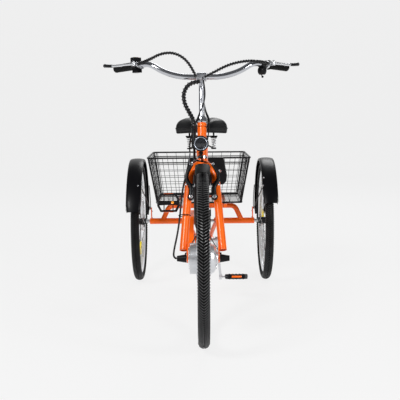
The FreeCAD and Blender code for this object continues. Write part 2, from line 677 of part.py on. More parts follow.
def make_seat():
    """The post, the clamp with both rails and spring plates, the springs and the saddle."""
    along = unit(tuple(Vector(*SEAT_TOP) - Vector(*BRACKET)))
    top = Vector(*SEAT_TOP) + along * 100
    bottom = Vector(*SEAT_TOP) - along * 160
    node(cylinder("seat_post", "seat_post_r", str((top - bottom).Length), tuple(bottom),
                  tuple(along)), "seat_post")
    clamp_y, clamp_z = top.y + 3, top.z + 8
    clamp = straight((-30, clamp_y, clamp_z), (30, clamp_y, clamp_z), 12)
    clamp = clamp.cut(straight(tuple(bottom), tuple(top + along * 0.05), value("seat_post_r") + 0.02))
    lower, upper = [], []
    for side, _ in SIDES:
        spring_x = side * SPRING_X
        rail = [(side * 22, 150, 745), (side * 22, clamp_y - 30, clamp_z + 4),
                (side * 30, clamp_y + 34, clamp_z - 6), (spring_x, SPRING_Y, 679)]
        lower.append(tube(rail, 3.5))
        lower.append(straight((spring_x, SPRING_Y, 676), (spring_x, SPRING_Y, 682), 12))
        upper.append(straight((spring_x, SPRING_Y, 728), (spring_x, SPRING_Y, 733), 15))
        upper.append(straight((spring_x, SPRING_Y, 738), (spring_x, SPRING_Y, 755.9), 4))
    bar = Part.makeBox(150, 10, 6, Vector(-75, SPRING_Y - 5, 733))
    rails = Part.makeCompound([clamp.fuse(lower), bar.fuse(upper)])
    node(solid("saddle_rails", rails), "saddle_rails")
    make_springs()
    make_saddle()


def make_springs():
    """Two conical coil springs between the lower plates and the bar under the saddle."""
    low_z, high_z, low_r, flare = 684.2, 726.0, 7.5, 6
    coils = []
    for side, _ in SIDES:
        helix = Part.makeHelix(8.36, high_z - low_z, low_r, flare)
        ring = Part.Wire([Part.makeCircle(1.7, Vector(low_r, 0, 0), Vector(0, 1, 0))])
        coil = Part.Wire(helix.Edges).makePipeShell([ring], True, True)
        coil.translate(Vector(side * SPRING_X, SPRING_Y, low_z))
        coils.append(coil)
    node(solid("saddle_springs", Part.makeCompound(coils)), "saddle_springs")


def make_saddle():
    """A wide padded saddle, tapering to a short nose."""
    width, length = value("saddle_width"), value("saddle_length")
    height = value("saddle_height")
    back = value("saddle_y") + length / 2
    profile = [(0.0, 0.30), (0.14, 0.42), (0.42, 0.62), (0.70, 0.96), (0.88, 1.0), (1.0, 0.74)]
    sections = []
    for share, wide in profile:
        y = back - length + share * length
        half = width / 2 * wide
        top = height * (0.76 + 0.24 * share ** 2)
        if share in (0.0, 1.0):
            top *= 0.8
        corners = [(-half, 0), (-half, top * 0.45), (-half * 0.72, top * 0.93), (0, top),
                   (half * 0.72, top * 0.93), (half, top * 0.45), (half, 0)]
        points = [Vector(x, y, value("saddle_z") + up) for x, up in corners]
        sections.append(Part.makePolygon(points + [points[0]]))
    node(solid("saddle_cover", Part.makeLoft(sections, True, True)), "saddle_cover")


# ---------------------------------------------------------------- steering

LEG_FOOT = (72, 41.6, 31)
LEG_TOP = (48, 4, 342)


def leg_at(up):
    """The middle of a fork leg at a height along the steering axis."""
    share = (up - LEG_FOOT[2]) / (LEG_TOP[2] - LEG_FOOT[2])
    return [LEG_FOOT[index] + share * (LEG_TOP[index] - LEG_FOOT[index]) for index in (0, 1)]


BOSS_X, BOSS_UP = 44, 232


def make_fork():
    """A unicrown fork: two legs that bend in to the steerer, dropouts and brake bosses."""
    outer_r, inner_r = value("leg_r"), value("leg_r") - value("leg_wall")
    pieces, holes = [], []
    for side, _ in SIDES:
        points = [steer(side * LEG_FOOT[0], *LEG_FOOT[1:]), steer(side * LEG_TOP[0], *LEG_TOP[1:]),
                  steer(side * 6, 0, 375)]
        pieces.append(tube(points, outer_r))
        holes.append(tube(points, inner_r))
        plate_centre = steer(side * 57.5, 47, 22)
        tilt = STEER_UP * 72 + STEER_FORWARD * (-8)
        dropout = Part.makeBox(5, 26, 72, Vector(-2.5, -13, -36))
        turn = FreeCAD.Rotation(Vector(1, 0, 0), Vector(0, 0, 1), unit(tuple(tilt)), "XZY")
        dropout.Placement = FreeCAD.Placement(Vector(*plate_centre), turn)
        pieces.append(dropout)
        holes.append(straight(steer(side * 50, value("fork_rake"), 0),
                              steer(side * 66, value("fork_rake"), 0), value("front_axle_r") + 0.03))
        _, ahead = leg_at(BOSS_UP)
        boss = side * BOSS_X
        pieces.append(straight(steer(boss, ahead, BOSS_UP), steer(boss, 33, BOSS_UP), 7))
        pieces.append(straight(steer(boss, 30, BOSS_UP), steer(boss, 50, BOSS_UP), 4))
    steerer = straight(steer(0, 0, 362), steer(0, 0, HEAD_END + 26), value("steerer_r"))
    race = straight(steer(0, 0, HEAD_START - 26), steer(0, 0, HEAD_START - 12.2), 18.5)
    holes.append(straight(steer(0, 0, 455), steer(0, 0, HEAD_END + 30), value("steerer_bore_r")))
    shape = pieces[0].fuse(pieces[1:] + [steerer, race])
    node(solid("fork", shape.cut(holes).removeSplitter()), "fork")


def make_stem():
    """A quill stem: its shaft in the steerer, and the clamp that holds the bar."""
    bar_up = steer_height(BAR_CENTRE)
    quill = tube([steer(0, 0, 475), steer(0, 0, bar_up), steer(0, 52, bar_up + 1)],
                 value("quill_r"), {1: 26})
    centre = Vector(*BAR_CENTRE)
    clamp = Part.makeCylinder(17, 38, centre - Vector(19, 0, 0), Vector(1, 0, 0))
    hole = Part.makeCylinder(value("bar_sleeve_r") + 0.02, 50, centre - Vector(25, 0, 0),
                             Vector(1, 0, 0))
    node(solid("stem", quill.fuse(clamp).cut(hole)), "stem")


def make_handlebar():
    points = [(-x, y, z) for x, y, z in reversed(BAR_POINTS)] + BAR_POINTS
    bends = {1: 70, 6: 70}
    outer = tube(points, value("bar_r"), bends)
    inner = tube(points, value("bar_r") - value("bar_wall"), bends)
    sleeve = straight((-20, *BAR_CENTRE[1:]), (20, *BAR_CENTRE[1:]), value("bar_sleeve_r"))
    node(solid("handlebar", outer.fuse(sleeve).cut(inner)), "handlebar")


def make_grip(side, label, gap):
    """A ribbed sleeve, closed at the bar's end."""
    along, _, _ = bar_axes(side)
    inner_end = at_bar(side, value("grip_length"))
    sleeve = cylinder(label + "_sleeve", "grip_r", "grip_length + 4", inner_end, tuple(along))
    flange = cylinder(label + "_flange", "grip_r + 3", "4", inner_end, tuple(along))
    hole = cylinder(label + "_hole", f"bar_r + {gap}", "grip_length + 0.3 + 5",
                    at_bar(side, value("grip_length") + 5), tuple(along))
    node(cut(label, fuse(label + "_blank", [sleeve, flange]), hole), label)


def make_throttle_housing():
    """The housing beside the twist grip, with the display on top of it."""
    along, _, above = bar_axes(RIGHT)
    start = at_bar(RIGHT, value("grip_length") + 26)
    ring = cylinder("throttle_ring", "19", "25.4", start, tuple(along))
    screen = box("throttle_screen", ("25", "34", "18"), at_bar(RIGHT, 131.5, 2, 22),
                 (tuple(along), tuple(above)))
    hole = cylinder("throttle_bore", "bar_r + 0.02", "40", at_bar(RIGHT, 155), tuple(along))
    well = cylinder("button_well", "5.3", "8", at_bar(RIGHT, 131.5, -6, 26), tuple(above))
    body = fuse("throttle_blank", [ring, screen])
    node(cut("throttle_housing", body, fuse("throttle_holes", [hole, well])), "throttle_housing")
    button = cylinder("power_button", "5", "5.6", at_bar(RIGHT, 131.5, -6, 27.6), tuple(above))
    node(button, "power_button")


def perch_place(side):
    """How far in from the grip's end the brake perch stands."""
    return value("grip_length") + (12 if side == LEFT else 38)


def make_brake_perches():
    """A clamp ring on each side of the bar, with two ears and a pin for the lever."""
    pieces = []
    for side, word in SIDES:
        along, ahead, above = bar_axes(side)
        inboard = perch_place(side)
        start = at_bar(side, inboard + 9)
        ring = straight(start, at_bar(side, inboard - 9), 15)
        arm = Part.makeCylinder(6.5, 12, Vector(*at_bar(side, inboard, 12, 3)), ahead)
        ears = []
        for lift in (-7.5, 5.5):
            ear = Part.makeCylinder(8, 2, Vector(*at_bar(side, inboard, 34, lift + 3)), above)
            bridge = Part.makeBox(10, 16, 2, Vector(-5, 0, 0))
            turn = FreeCAD.Rotation(along, ahead, above, "ZXY")
            bridge.Placement = FreeCAD.Placement(
                Vector(*at_bar(side, inboard, 20, lift + 3)), turn)
            ears += [ear, bridge]
        web = Part.makeCylinder(6.5, 15, Vector(*at_bar(side, inboard, 20, -4.5)), above)
        pin = Part.makeCylinder(3, 15, Vector(*at_bar(side, inboard, 34, -4.5)), above)
        barrel_start = at_bar(side, inboard + 6, 22, 3)
        barrel = Part.makeCylinder(4, 14, Vector(*barrel_start), along * -1)
        shape = ring.fuse([arm, web, pin, barrel] + ears)
        shape = shape.cut(straight(at_bar(side, inboard + 20), at_bar(side, inboard - 20),
                                   value("bar_r") + 0.02))
        pieces.append(shape)
    node(solid("brake_lever_brackets", Part.makeCompound(pieces)), "brake_lever_brackets")


def make_brake_lever(side, word):
    """A lever that swings on the perch's pin towards the grip."""
    _, _, above = bar_axes(side)
    inboard = perch_place(side)
    eye = Part.makeCylinder(6.5, 10.4, Vector(*at_bar(side, inboard, 34, -2.2)), above)
    points = [at_bar(side, inboard - 4, 35, 3), at_bar(side, inboard - 26, 42, 3),
              at_bar(side, inboard - 62, 52, 3), at_bar(side, 30, 55, 3),
              at_bar(side, -10, 51, 3)]
    blade = tube(points, 4.6)
    ball = Part.makeSphere(6.5, Vector(*points[-1]))
    shape = eye.fuse([blade, ball])
    pin_hole = Part.makeCylinder(3.05, 30, Vector(*at_bar(side, inboard, 34, -10)), above)
    node(solid(f"{word}_brake_lever", shape.cut(pin_hole)), f"{word}_brake_lever")


def make_shifter():
    """A round shifter pod below the bar, with its thumb lever."""
    _, ahead, _ = bar_axes(LEFT)
    ring = straight(at_bar(LEFT, 170), at_bar(LEFT, 146), 14.5)
    pod_start = at_bar(LEFT, 158, -9, -26)
    pod = Part.makeCylinder(15.5, 20, Vector(*pod_start), ahead)
    hole = straight(at_bar(LEFT, 180), at_bar(LEFT, 136), value("bar_r") + 0.02)
    node(solid("shifter_pod", ring.fuse(pod).cut(hole)), "shifter_pod")
    hub = Part.makeCylinder(9, 4, Vector(*at_bar(LEFT, 158, -13.4, -26)), ahead)
    thumb = straight(at_bar(LEFT, 158, -11.6, -26), at_bar(LEFT, 136, -14, -46), 2)
    knob = Part.makeSphere(4.5, Vector(*at_bar(LEFT, 135, -14, -47)))
    lever = hub.fuse([thumb, knob])
    node(solid("shifter_lever", lever), "shifter_lever")


def make_headset_nut():
    node(turned("headset_nut", [("steerer_r", "0"), ("19", "0"), ("19", "8"), ("16.5", "13"),
                                ("steerer_r", "13")],
                steer(0, 0, HEAD_END + 13.3), tuple(STEER_UP)), "headset_nut")


LIGHT_PIVOT = (value("light_x"), -436, 702)
LIGHT_FRONT = (value("light_x"), -458, 738)


def make_headlight():
    """A round lamp on a foot that tilts on the bracket's pin."""
    x, y, z = LIGHT_PIVOT
    back = (0, 1, 0)
    outer, depth = "light_r", "light_length"
    housing = turned("lamp_shell", [("0", depth), ("0", f"{depth} - 4"), ("19", f"{depth} - 4"),
                                    ("25.5", "30"), ("25.5", "6"), ("26.5", "6"), ("26.5", "0"),
                                    (outer, "0"), (outer, "10"), (f"{outer} - 1.5", "30"),
                                    ("21", depth)], LIGHT_FRONT, back)
    foot = box("lamp_foot", ("9", "14", "28"), (x, y, z + 2.5))
    eye = cylinder("lamp_eye", "6.5", "9", LIGHT_PIVOT, X_AXIS, True)
    hole = cylinder("lamp_eye_hole", "2.55", "20", LIGHT_PIVOT, X_AXIS, True)
    room = cylinder("lamp_room", "25.6", "34", (x, LIGHT_FRONT[1] + 6, LIGHT_FRONT[2]), back)
    blank = fuse("lamp_blank", [housing, cut("lamp_foot_trimmed", foot, room), eye])
    node(cut("headlight_housing", blank, hole), "headlight_housing")
    lens_start = (x, LIGHT_FRONT[1] + 1.6, LIGHT_FRONT[2])
    node(cylinder("headlight_lens", "26.4", "4", lens_start, back), "headlight_lens")


def make_headlight_bracket():
    """A bent strap from the fork crown to two ears and the lamp's pin."""
    x, y, z = LIGHT_PIVOT
    strap = tube([steer(0, 19.2, 383), steer(x / 2, 44, 381), (x, y - 2, z - 17)], 4.5)
    pieces = []
    for ear_x in (x + 5, x - 7.5):
        pieces.append(Part.makeBox(2.5, 13, 26, Vector(ear_x, y - 6.5, z - 20)))
    pieces.append(Part.makeBox(15, 13, 5, Vector(x - 7.5, y - 6.5, z - 20)))
    pieces.append(straight((x - 9, y, z), (x + 9, y, z), 2.5))
    node(solid("headlight_bracket", strap.fuse(pieces)), "headlight_bracket")


def make_front_fender():
    """A domed mudguard and the wire stays from its lower end to the dropouts."""
    top, half, thin = "front_wheel_r + fender_gap", "fender_half_width", "fender_thickness"
    outer = [(f"{top} - 11", half), (f"{top} - 4", f"{half} - 3.5"), (top, f"{half} - 14")]
    inner = [(f"{top} - {thin}", f"{half} - 14.4"), (f"{top} - 5.2", f"{half} - 4.9"),
             (f"{top} - 11", f"{half} - {thin}")]
    outline = (outer + [(radius, f"-({across})") for radius, across in reversed(outer)]
               + [(radius, f"-({across})") for radius, across in reversed(inner)] + inner)
    blade = turned_arc("front_fender_blade", outline, FRONT_AXLE, LEFT, 20, 105)
    radius = value(top) - 6
    angle = math.radians(86)
    stays = []
    for side, word in SIDES:
        rear_end = (side * (value(half) + 2.2), FRONT_AXLE[1] + radius * math.sin(angle),
                    FRONT_AXLE[2] + radius * math.cos(angle))
        start_point = steer(side * 62.8, 37, 19)
        knee = (side * 50, start_point[1] + 0.4 * (rear_end[1] - start_point[1]),
                start_point[2] + 0.4 * (rear_end[2] - start_point[2]))
        stays.append(solid(f"front_{word}_stay", tube([start_point, knee, rear_end], 2)))
    node(group("front_fender_pieces", [blade] + stays), "front_fender")


def make_front_axle():
    """The fixed axle through the hub motor, with its nuts."""
    shaft = cylinder("front_shaft", "front_axle_r", "front_axle_half * 2", FRONT_AXLE, X_AXIS, True)
    nuts = []
    for side, word in SIDES:
        start = (side * 60.1, FRONT_AXLE[1], FRONT_AXLE[2])
        nuts.append(cylinder(f"front_{word}_nut", "10.5", "10", start, (side, 0, 0)))
    node(fuse("front_axle_all", [shaft] + nuts), "front_axle")
    covers = []
    for side, word in SIDES:
        outline = [("12", "0"), ("15.5", "0"), ("10", "35"), ("0", "35"), ("0", "23"),
                   ("7", "23"), ("12", "11")]
        start = (side * 61, FRONT_AXLE[1], FRONT_AXLE[2])
        covers.append(turned(f"front_{word}_cover", outline, start, (side, 0, 0)))
    node(group("axle_cover_pair", covers), "axle_covers")


def make_v_brake(side, word):
    """A brake arm on its boss, with the pad's holder and the pad beside the rim."""
    boss = side * BOSS_X
    foot, knee, head = steer(boss, 42, BOSS_UP), steer(side * 45, 43, 300), steer(side * 40, 43, 356)
    eye = straight(steer(boss, 34, BOSS_UP), steer(boss, 48, BOSS_UP), 8)
    arm = tube([foot, knee, head], 4.5)
    top = Part.makeSphere(6.5, Vector(*head))
    stud = straight(steer(side * 44, 40, 280), steer(side * 23.5, 40, 280), 3.5)
    pad = Part.makeBox(7.5, 52, 9, Vector(-3.75, -26, -4.5))
    pad_middle = Vector(*steer(0, 40, 278.5))
    outward = unit(tuple(pad_middle - Vector(*FRONT_AXLE)))
    turn = FreeCAD.Rotation(Vector(1, 0, 0), outward.cross(Vector(1, 0, 0)), outward, "XZY")
    pad.Placement = FreeCAD.Placement(pad_middle + Vector(side * 18.9, 0, 0), turn)
    hole = straight(steer(boss, 20, BOSS_UP), steer(boss, 60, BOSS_UP), 4.05)
    shape = eye.fuse([arm, top, stud]).cut(hole)
    pad = pad.cut(shape)
    both = Part.makeCompound([shape, pad])
    node(solid(f"{word}_brake_arm", both), f"{word}_brake_arm")


# ---------------------------------------------------------------- drive

def pitch_radius(teeth):
    return value("chain_pitch") / (2 * math.sin(math.pi / value(teeth)))


def toothed_disc(teeth, thickness):
    """A chain wheel blank whose teeth are short trapezoids round its root circle."""
    count = int(value(teeth))
    root, tip = pitch_radius(teeth) - 4.2, pitch_radius(teeth) + 2.6
    corners = []
    for index in range(count):
        for share, radius in ((-0.27, root), (-0.10, tip), (0.10, tip), (0.27, root)):
            turn = 2 * math.pi * (index + share) / count
            corners.append(Vector(0, radius * math.cos(turn), radius * math.sin(turn)))
    face = Part.Face(Part.makePolygon(corners + [corners[0]]))
    disc = face.extrude(Vector(thickness, 0, 0))
    disc.translate(Vector(-thickness / 2, 0, 0))
    return disc


def make_chainring():
    disc = toothed_disc("chainring_teeth", 2.2)
    holes = [Part.makeCylinder(22, 10, Vector(-5, 52 * math.cos(turn), 52 * math.sin(turn)),
                               Vector(1, 0, 0))
             for turn in (2 * math.pi * index / 5 for index in range(5))]
    holes.append(Part.makeCylinder(16.1, 10, Vector(-5, 0, 0), Vector(1, 0, 0)))
    shape = disc.cut(holes)
    shape.translate(Vector(value("chain_x"), *BRACKET[1:]))
    node(solid("chainring", shape), "chainring")


def make_sprocket():
    """The rear sprocket on its freewheel body, turning on the live axle."""
    y, z = REAR_AXLE[1:]
    disc = toothed_disc("sprocket_teeth", 2.2)
    disc.translate(Vector(value("chain_x"), y, z))
    body = Part.makeCylinder(21, 16, Vector(value("chain_x") - 6, y, z), Vector(1, 0, 0))
    hole = Part.makeCylinder(value("rear_axle_r + running_gap"), 40,
                             Vector(value("chain_x") - 20, y, z), Vector(1, 0, 0))
    node(solid("rear_sprocket", disc.fuse(body).cut(hole)), "rear_sprocket")


def crank_section(side, near, far, half, y, z):
    """A rectangle across the crank arm, from near to far along the axle."""
    corners = [Vector(side * near, y - half, z), Vector(side * near, y + half, z),
               Vector(side * far, y + half, z), Vector(side * far, y - half, z)]
    return Part.makePolygon(corners + corners[:1])


def make_cranks():
    """Spindle, both crank arms and the chainring's carrier; the left arm points down."""
    y, z = BRACKET[1:]
    length = value("crank_length")
    pieces = [straight((-78, y, z), (70, y, z), 8.5)]
    carrier = Part.makeCylinder(16, 12, Vector(value("chain_x") - 6, y, z), Vector(1, 0, 0))
    pieces.append(carrier)
    for side, _ in SIDES:
        near, far = (62, 80) if side == LEFT else (72, 84)
        end_z = z - side * length
        boss = straight((side * (near - 6), y, z), (side * (near + 8), y, z), 17)
        eye = straight((side * (far - 7), y, end_z), (side * (far + 6), y, end_z), 13)
        blade = Part.makeLoft([crank_section(side, near - 5, near + 7, 13, y, z),
                               crank_section(side, far - 6, far + 5, 10, y, end_z)], True)
        axle = straight((side * far, y, end_z), (side * (value("pedal_x") + 52), y, end_z), 4.5)
        pieces += [boss, eye, blade, axle]
    node(solid("crank_arms", pieces[0].fuse(pieces[1:]).removeSplitter()), "crank_arms")


def make_pedal(side, word, tilt):
    """A pedal cage with its end reflectors, round a bearing tube."""
    end_z = BRACKET[2] - side * value("crank_length")
    centre = Vector(side * value("pedal_x"), BRACKET[1], end_z)
    length, width = value("pedal_length"), value("pedal_width")
    height = value("pedal_height")
    frame = Part.makeBox(length, width, height, Vector(-length / 2, -width / 2, -height / 2))
    window_width = width / 2 - 19
    for near_edge in (-width / 2 + 9, width / 2 - 9 - window_width):
        window = Part.makeBox(length - 20, window_width, height + 10,
                              Vector(-length / 2 + 10, near_edge, -height / 2 - 5))
        frame = frame.cut(window)
    hole = Part.makeCylinder(4.55, length * 2, Vector(-length, 0, 0), Vector(1, 0, 0))
    frame = frame.cut(hole)
    frame.rotate(Vector(0, 0, 0), Vector(1, 0, 0), tilt)
    frame.translate(centre)
    node(solid(f"{word}_pedal", frame), f"{word}_pedal")


# ---------------------------------------------------------------- cables

LOOM_SIDE, LOOM_BACK = -31, -4


def make_cables():
    """Looms from both ends of the bar, the front brake cable and the motor cable."""
    right_loom = [at_bar(RIGHT, 177, 22, 3), (-196, -338, 1054), (-156, -354, 1074),
                  (-108, -362, 1078), (-66, -366, 1058), (-36, -368, 1020), (-20, -368, 984)]
    left_loom = [at_bar(LEFT, 151, 22, 3), (206, -336, 1046), (150, -354, 1042), (98, -364, 1028),
                 (50, -369, 1004), (10, -370, 984)]
    motor = [(-97, *FRONT_AXLE[1:]), steer(-109, 50, 3), steer(-107, 47, 32), steer(-95, 39, 88),
             steer(-86, 33, 150), steer(-81, 29, 212), steer(-74, 26, 272), steer(-62, 25, 322),
             steer(-44, 22, 366)]
    brake = [(4, -384, 984), (13, -394, 940), (10, -404, 890), (-14, -410, 838), (-38, -414, 776),
             (-50, -416, 724), (-47, -418, 694), (-43, -424, 669)]
    shapes = [tube(right_loom, value("loom_r")), tube(left_loom, value("loom_r")),
              tube(motor, 3.5), tube(brake, value("cable_r"))]
    node(solid("bar_cables", Part.makeCompound(shapes)), "bar_cables")
    bundle = [(-6, -368, 968), (-44, -366, 966), (-70, -356, 930), (-68, -346, 888), (-48, -334, 850),
              steer(LOOM_SIDE, LOOM_BACK, HEAD_END + 12), steer(LOOM_SIDE, LOOM_BACK, HEAD_END - 10)]
    node(solid("steering_loom", tube(bundle, value("bundle_r"))), "steering_loom")
    down = [steer(LOOM_SIDE, LOOM_BACK, HEAD_END - 10.5), steer(LOOM_SIDE, LOOM_BACK, HEAD_START + 60),
            steer(-30, -12, HEAD_START + 20), (-31, -262, 590), (-31, -196, 492), (-31, -118, 420),
            (-33, -20, 372), (-26, 60, 340)]
    node(solid("frame_cables", tube(down, 6)), "frame_cables")


def build():
    make_front_wheel()
    for side, word in SIDES:
        make_rear_wheel(side, word)
        make_v_brake(side, word)
        make_brake_lever(side, word)
    make_rear_axle()
    make_main_frame()
    make_rear_frame()
    make_headset()
    make_frame_bearings()
    make_seat_clamp()
    make_battery()
    make_chain_guard()
    make_chain()
    make_rear_brake()
    make_rear_fender(LEFT, "left", 67)
    make_rear_fender(RIGHT, "right", 74)
    make_basket()
    make_seat()
    make_fork()
    make_stem()
    make_handlebar()
    make_grip(LEFT, "left_grip", 0.02)
    make_grip(RIGHT, "throttle_grip", "running_gap")
    make_throttle_housing()
    make_brake_perches()
    make_shifter()
    make_headset_nut()
    make_headlight()
    make_headlight_bracket()
    make_front_fender()
    make_front_axle()
    make_chainring()
    make_sprocket()
    make_cranks()
    make_pedal(LEFT, "left", -12)
    make_pedal(RIGHT, "right", 76)
    make_cables()


def export():
    """Check every object, then write each sub-part to its own file."""
    document.recompute()
    failed = [item.Name for item in document.Objects
              if "Invalid" in item.State or "Error" in item.State]
    for item in NODES:
        if item.Shape.isNull() or not item.Shape.isValid() or not item.Shape.Solids:
            failed.append(item.Label)
    if failed:
        raise RuntimeError("failed: " + ", ".join(failed))
    os.makedirs("parts", exist_ok=True)
    for item in NODES:
        item.Shape.exportStep(f"parts/{item.Label}.step")
    print(f"{len(NODES)} sub-parts")


build()
export()
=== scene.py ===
import json
from math import asin, atan2, copysign, cos, exp, hypot, pi, radians, sin, sqrt, tan

import bmesh
import bpy
from mathutils import Matrix, Vector


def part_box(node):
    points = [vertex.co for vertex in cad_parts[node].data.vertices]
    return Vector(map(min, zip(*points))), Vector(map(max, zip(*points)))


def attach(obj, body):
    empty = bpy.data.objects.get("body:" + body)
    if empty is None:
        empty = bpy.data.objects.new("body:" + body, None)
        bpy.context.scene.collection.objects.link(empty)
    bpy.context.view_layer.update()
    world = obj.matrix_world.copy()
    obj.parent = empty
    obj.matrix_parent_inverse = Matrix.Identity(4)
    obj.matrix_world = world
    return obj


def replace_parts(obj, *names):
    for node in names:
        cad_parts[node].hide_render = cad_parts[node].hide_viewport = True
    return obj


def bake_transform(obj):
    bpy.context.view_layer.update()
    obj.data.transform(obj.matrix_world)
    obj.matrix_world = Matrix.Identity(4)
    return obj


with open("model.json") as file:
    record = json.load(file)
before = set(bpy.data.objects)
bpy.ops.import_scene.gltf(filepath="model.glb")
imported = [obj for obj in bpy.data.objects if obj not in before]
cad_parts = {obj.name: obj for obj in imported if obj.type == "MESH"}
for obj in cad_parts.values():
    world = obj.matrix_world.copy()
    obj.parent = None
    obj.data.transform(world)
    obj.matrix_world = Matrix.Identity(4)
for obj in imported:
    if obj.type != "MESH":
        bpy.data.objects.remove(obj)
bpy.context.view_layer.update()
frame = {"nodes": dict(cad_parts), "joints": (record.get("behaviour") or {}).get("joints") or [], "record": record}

NODES = frame["nodes"]
JOINTS = {joint["name"]: joint for joint in frame["joints"]}
MM = 0.001
TURN = 2 * pi
CHAIN_PITCH = 12.7 * MM
LEFT, RIGHT = 1, -1
SIDES = ((LEFT, "left"), (RIGHT, "right"))
X_AXIS = Vector((1, 0, 0))


# ------------------------------------------------------------ places, read from the frame

def joint_line(name):
    joint = JOINTS[name]
    return Vector(joint["pos_m"]), Vector(joint["axis"]).normalized()


FRONT_AXLE = joint_line("front_wheel_spin")[0]
REAR_AXLE = {LEFT: joint_line("left_wheel_spin")[0], RIGHT: joint_line("right_wheel_spin")[0]}
CRANK = joint_line("crank_spin")[0]
STEER_POINT, STEER_UP = joint_line("steering")
STEER_FORWARD = X_AXIS.cross(STEER_UP).normalized()
STEER_ORIGIN = STEER_POINT + STEER_UP * (FRONT_AXLE - STEER_POINT).dot(STEER_UP)


def steer(x, forward, up):
    """A point from its distances across, ahead of and along the steering axis, in mm."""
    return STEER_ORIGIN + X_AXIS * x * MM + STEER_FORWARD * forward * MM + STEER_UP * up * MM


GRIP_POINT, GRIP_ALONG = joint_line("throttle_twist")
BAR_END = GRIP_POINT + GRIP_ALONG * 60 * MM


def bar_axes(side):
    """Along the grip outwards, ahead of the grip, and up from it."""
    along = Vector((-side * GRIP_ALONG.x, GRIP_ALONG.y, GRIP_ALONG.z))
    ahead = Vector((side * GRIP_ALONG.y, -abs(GRIP_ALONG.x), 0)).normalized()
    above = along.cross(ahead)
    if above.z < 0:
        above = -above
    return along, ahead, above


def at_bar(side, inboard, ahead=0, above=0):
    """A point by its distances in from the grip's end, ahead of the bar and above it, in mm."""
    along, forward, up = bar_axes(side)
    end = Vector((-side * BAR_END.x, BAR_END.y, BAR_END.z))
    return end - along * inboard * MM + forward * ahead * MM + up * above * MM


# ------------------------------------------------------------ camera, light and floor

def linked(name, data):
    """A new object in the scene with the given camera, light or mesh."""
    item = bpy.data.objects.new(name, data)
    bpy.context.collection.objects.link(item)
    return item


def make_camera():
    data = bpy.data.cameras.new("camera")
    data.lens, data.sensor_width = 67.8, 36
    camera = linked("camera", data)
    camera.location = (-0.010, FRONT_AXLE.y - 2.702, 0.867)
    tilt, roll = pi / 2 - 0.121, -0.0087
    turn = Matrix.Rotation(tilt, 3, "X") @ Matrix.Rotation(roll, 3, "Z")
    camera.rotation_euler = turn.to_euler()
    bpy.context.scene.camera = camera


def make_light(name, place, target, energy, size):
    data = bpy.data.lights.new(name, "AREA")
    data.energy = energy
    data.shape, data.size = "DISK", size
    lamp = linked(name, data)
    lamp.location = place
    lamp.rotation_euler = (Vector(target) - Vector(place)).to_track_quat("-Z", "Y").to_euler()


def make_sheet(name, verts, faces, paint):
    """A smooth mesh of the stage, in metres."""
    mesh = bpy.data.meshes.new(name)
    mesh.from_pydata(verts, [], faces)
    for polygon in mesh.polygons:
        polygon.use_smooth = True
    mesh.materials.append(paint)
    return linked(name, mesh)


def make_stage():
    """The floor, curved up into a back wall."""
    reach, bend, wall, curve = 14.0, 8.0, 12.0, 4
    rows = [(-reach, 0), (bend, 0)]
    rows += [(bend + curve * sin(0.2 * step), curve - curve * cos(0.2 * step)) for step in range(1, 8)]
    rows.append((bend + curve, wall))
    verts = [(side * reach, y, z) for y, z in rows for side in (-1, 1)]
    faces = [(2 * i, 2 * i + 1, 2 * i + 3, 2 * i + 2) for i in range(len(rows) - 1)]
    paint, _, shader = new_paint("pale_floor")
    fill_inputs(shader, base_color=(0.10, 0.10, 0.10, 1), roughness=1.0, specular_IOR_level=0.0,
                emission_color=(1, 1, 1, 1), emission_strength=0.82)
    make_sheet("floor", verts, faces, paint)
    make_surround(paint)


def make_surround(paint):
    """A far ring that lights nothing and closes the pale backdrop behind every other view."""
    reach, height, count = 13.5, 14.0, 96
    verts = [(reach * cos(TURN * step / count), reach * sin(TURN * step / count), z)
             for step in range(count) for z in (0, height)]
    faces = [(2 * i, (2 * i + 2) % (2 * count), (2 * i + 3) % (2 * count), 2 * i + 1) for i in range(count)]
    ring = make_sheet("surround", verts, faces, paint)
    ring.visible_diffuse = ring.visible_glossy = ring.visible_transmission = ring.visible_shadow = False
    return ring


def make_world():
    world = bpy.data.worlds.new("studio")
    world.use_nodes = True
    fill_inputs(world.node_tree.nodes["Background"], color=(0.95, 0.97, 1.0, 1), strength=0.16)
    bpy.context.scene.world = world
    bpy.context.scene.view_settings.view_transform = "Standard"


# ------------------------------------------------------------ materials

def fill_inputs(node, **values):
    """Set a node's own sockets; an underscore in a keyword stands for a space."""
    for key, value in values.items():
        wanted = key.replace("_", " ").lower()
        next(socket for socket in node.inputs if socket.name.lower() == wanted).default_value = value


def new_paint(name):
    paint = bpy.data.materials.new(name)
    paint.use_nodes = True
    return paint, paint.node_tree, paint.node_tree.nodes["Principled BSDF"]


def add_node(tree, kind, inlet=None, source=None, **values):
    """A shader node of a kind, with one inlet linked to a source and the rest set."""
    made = tree.nodes.new("ShaderNode" + kind)
    if inlet:
        tree.links.new(source, made.inputs[inlet])
    fill_inputs(made, **values)
    return made


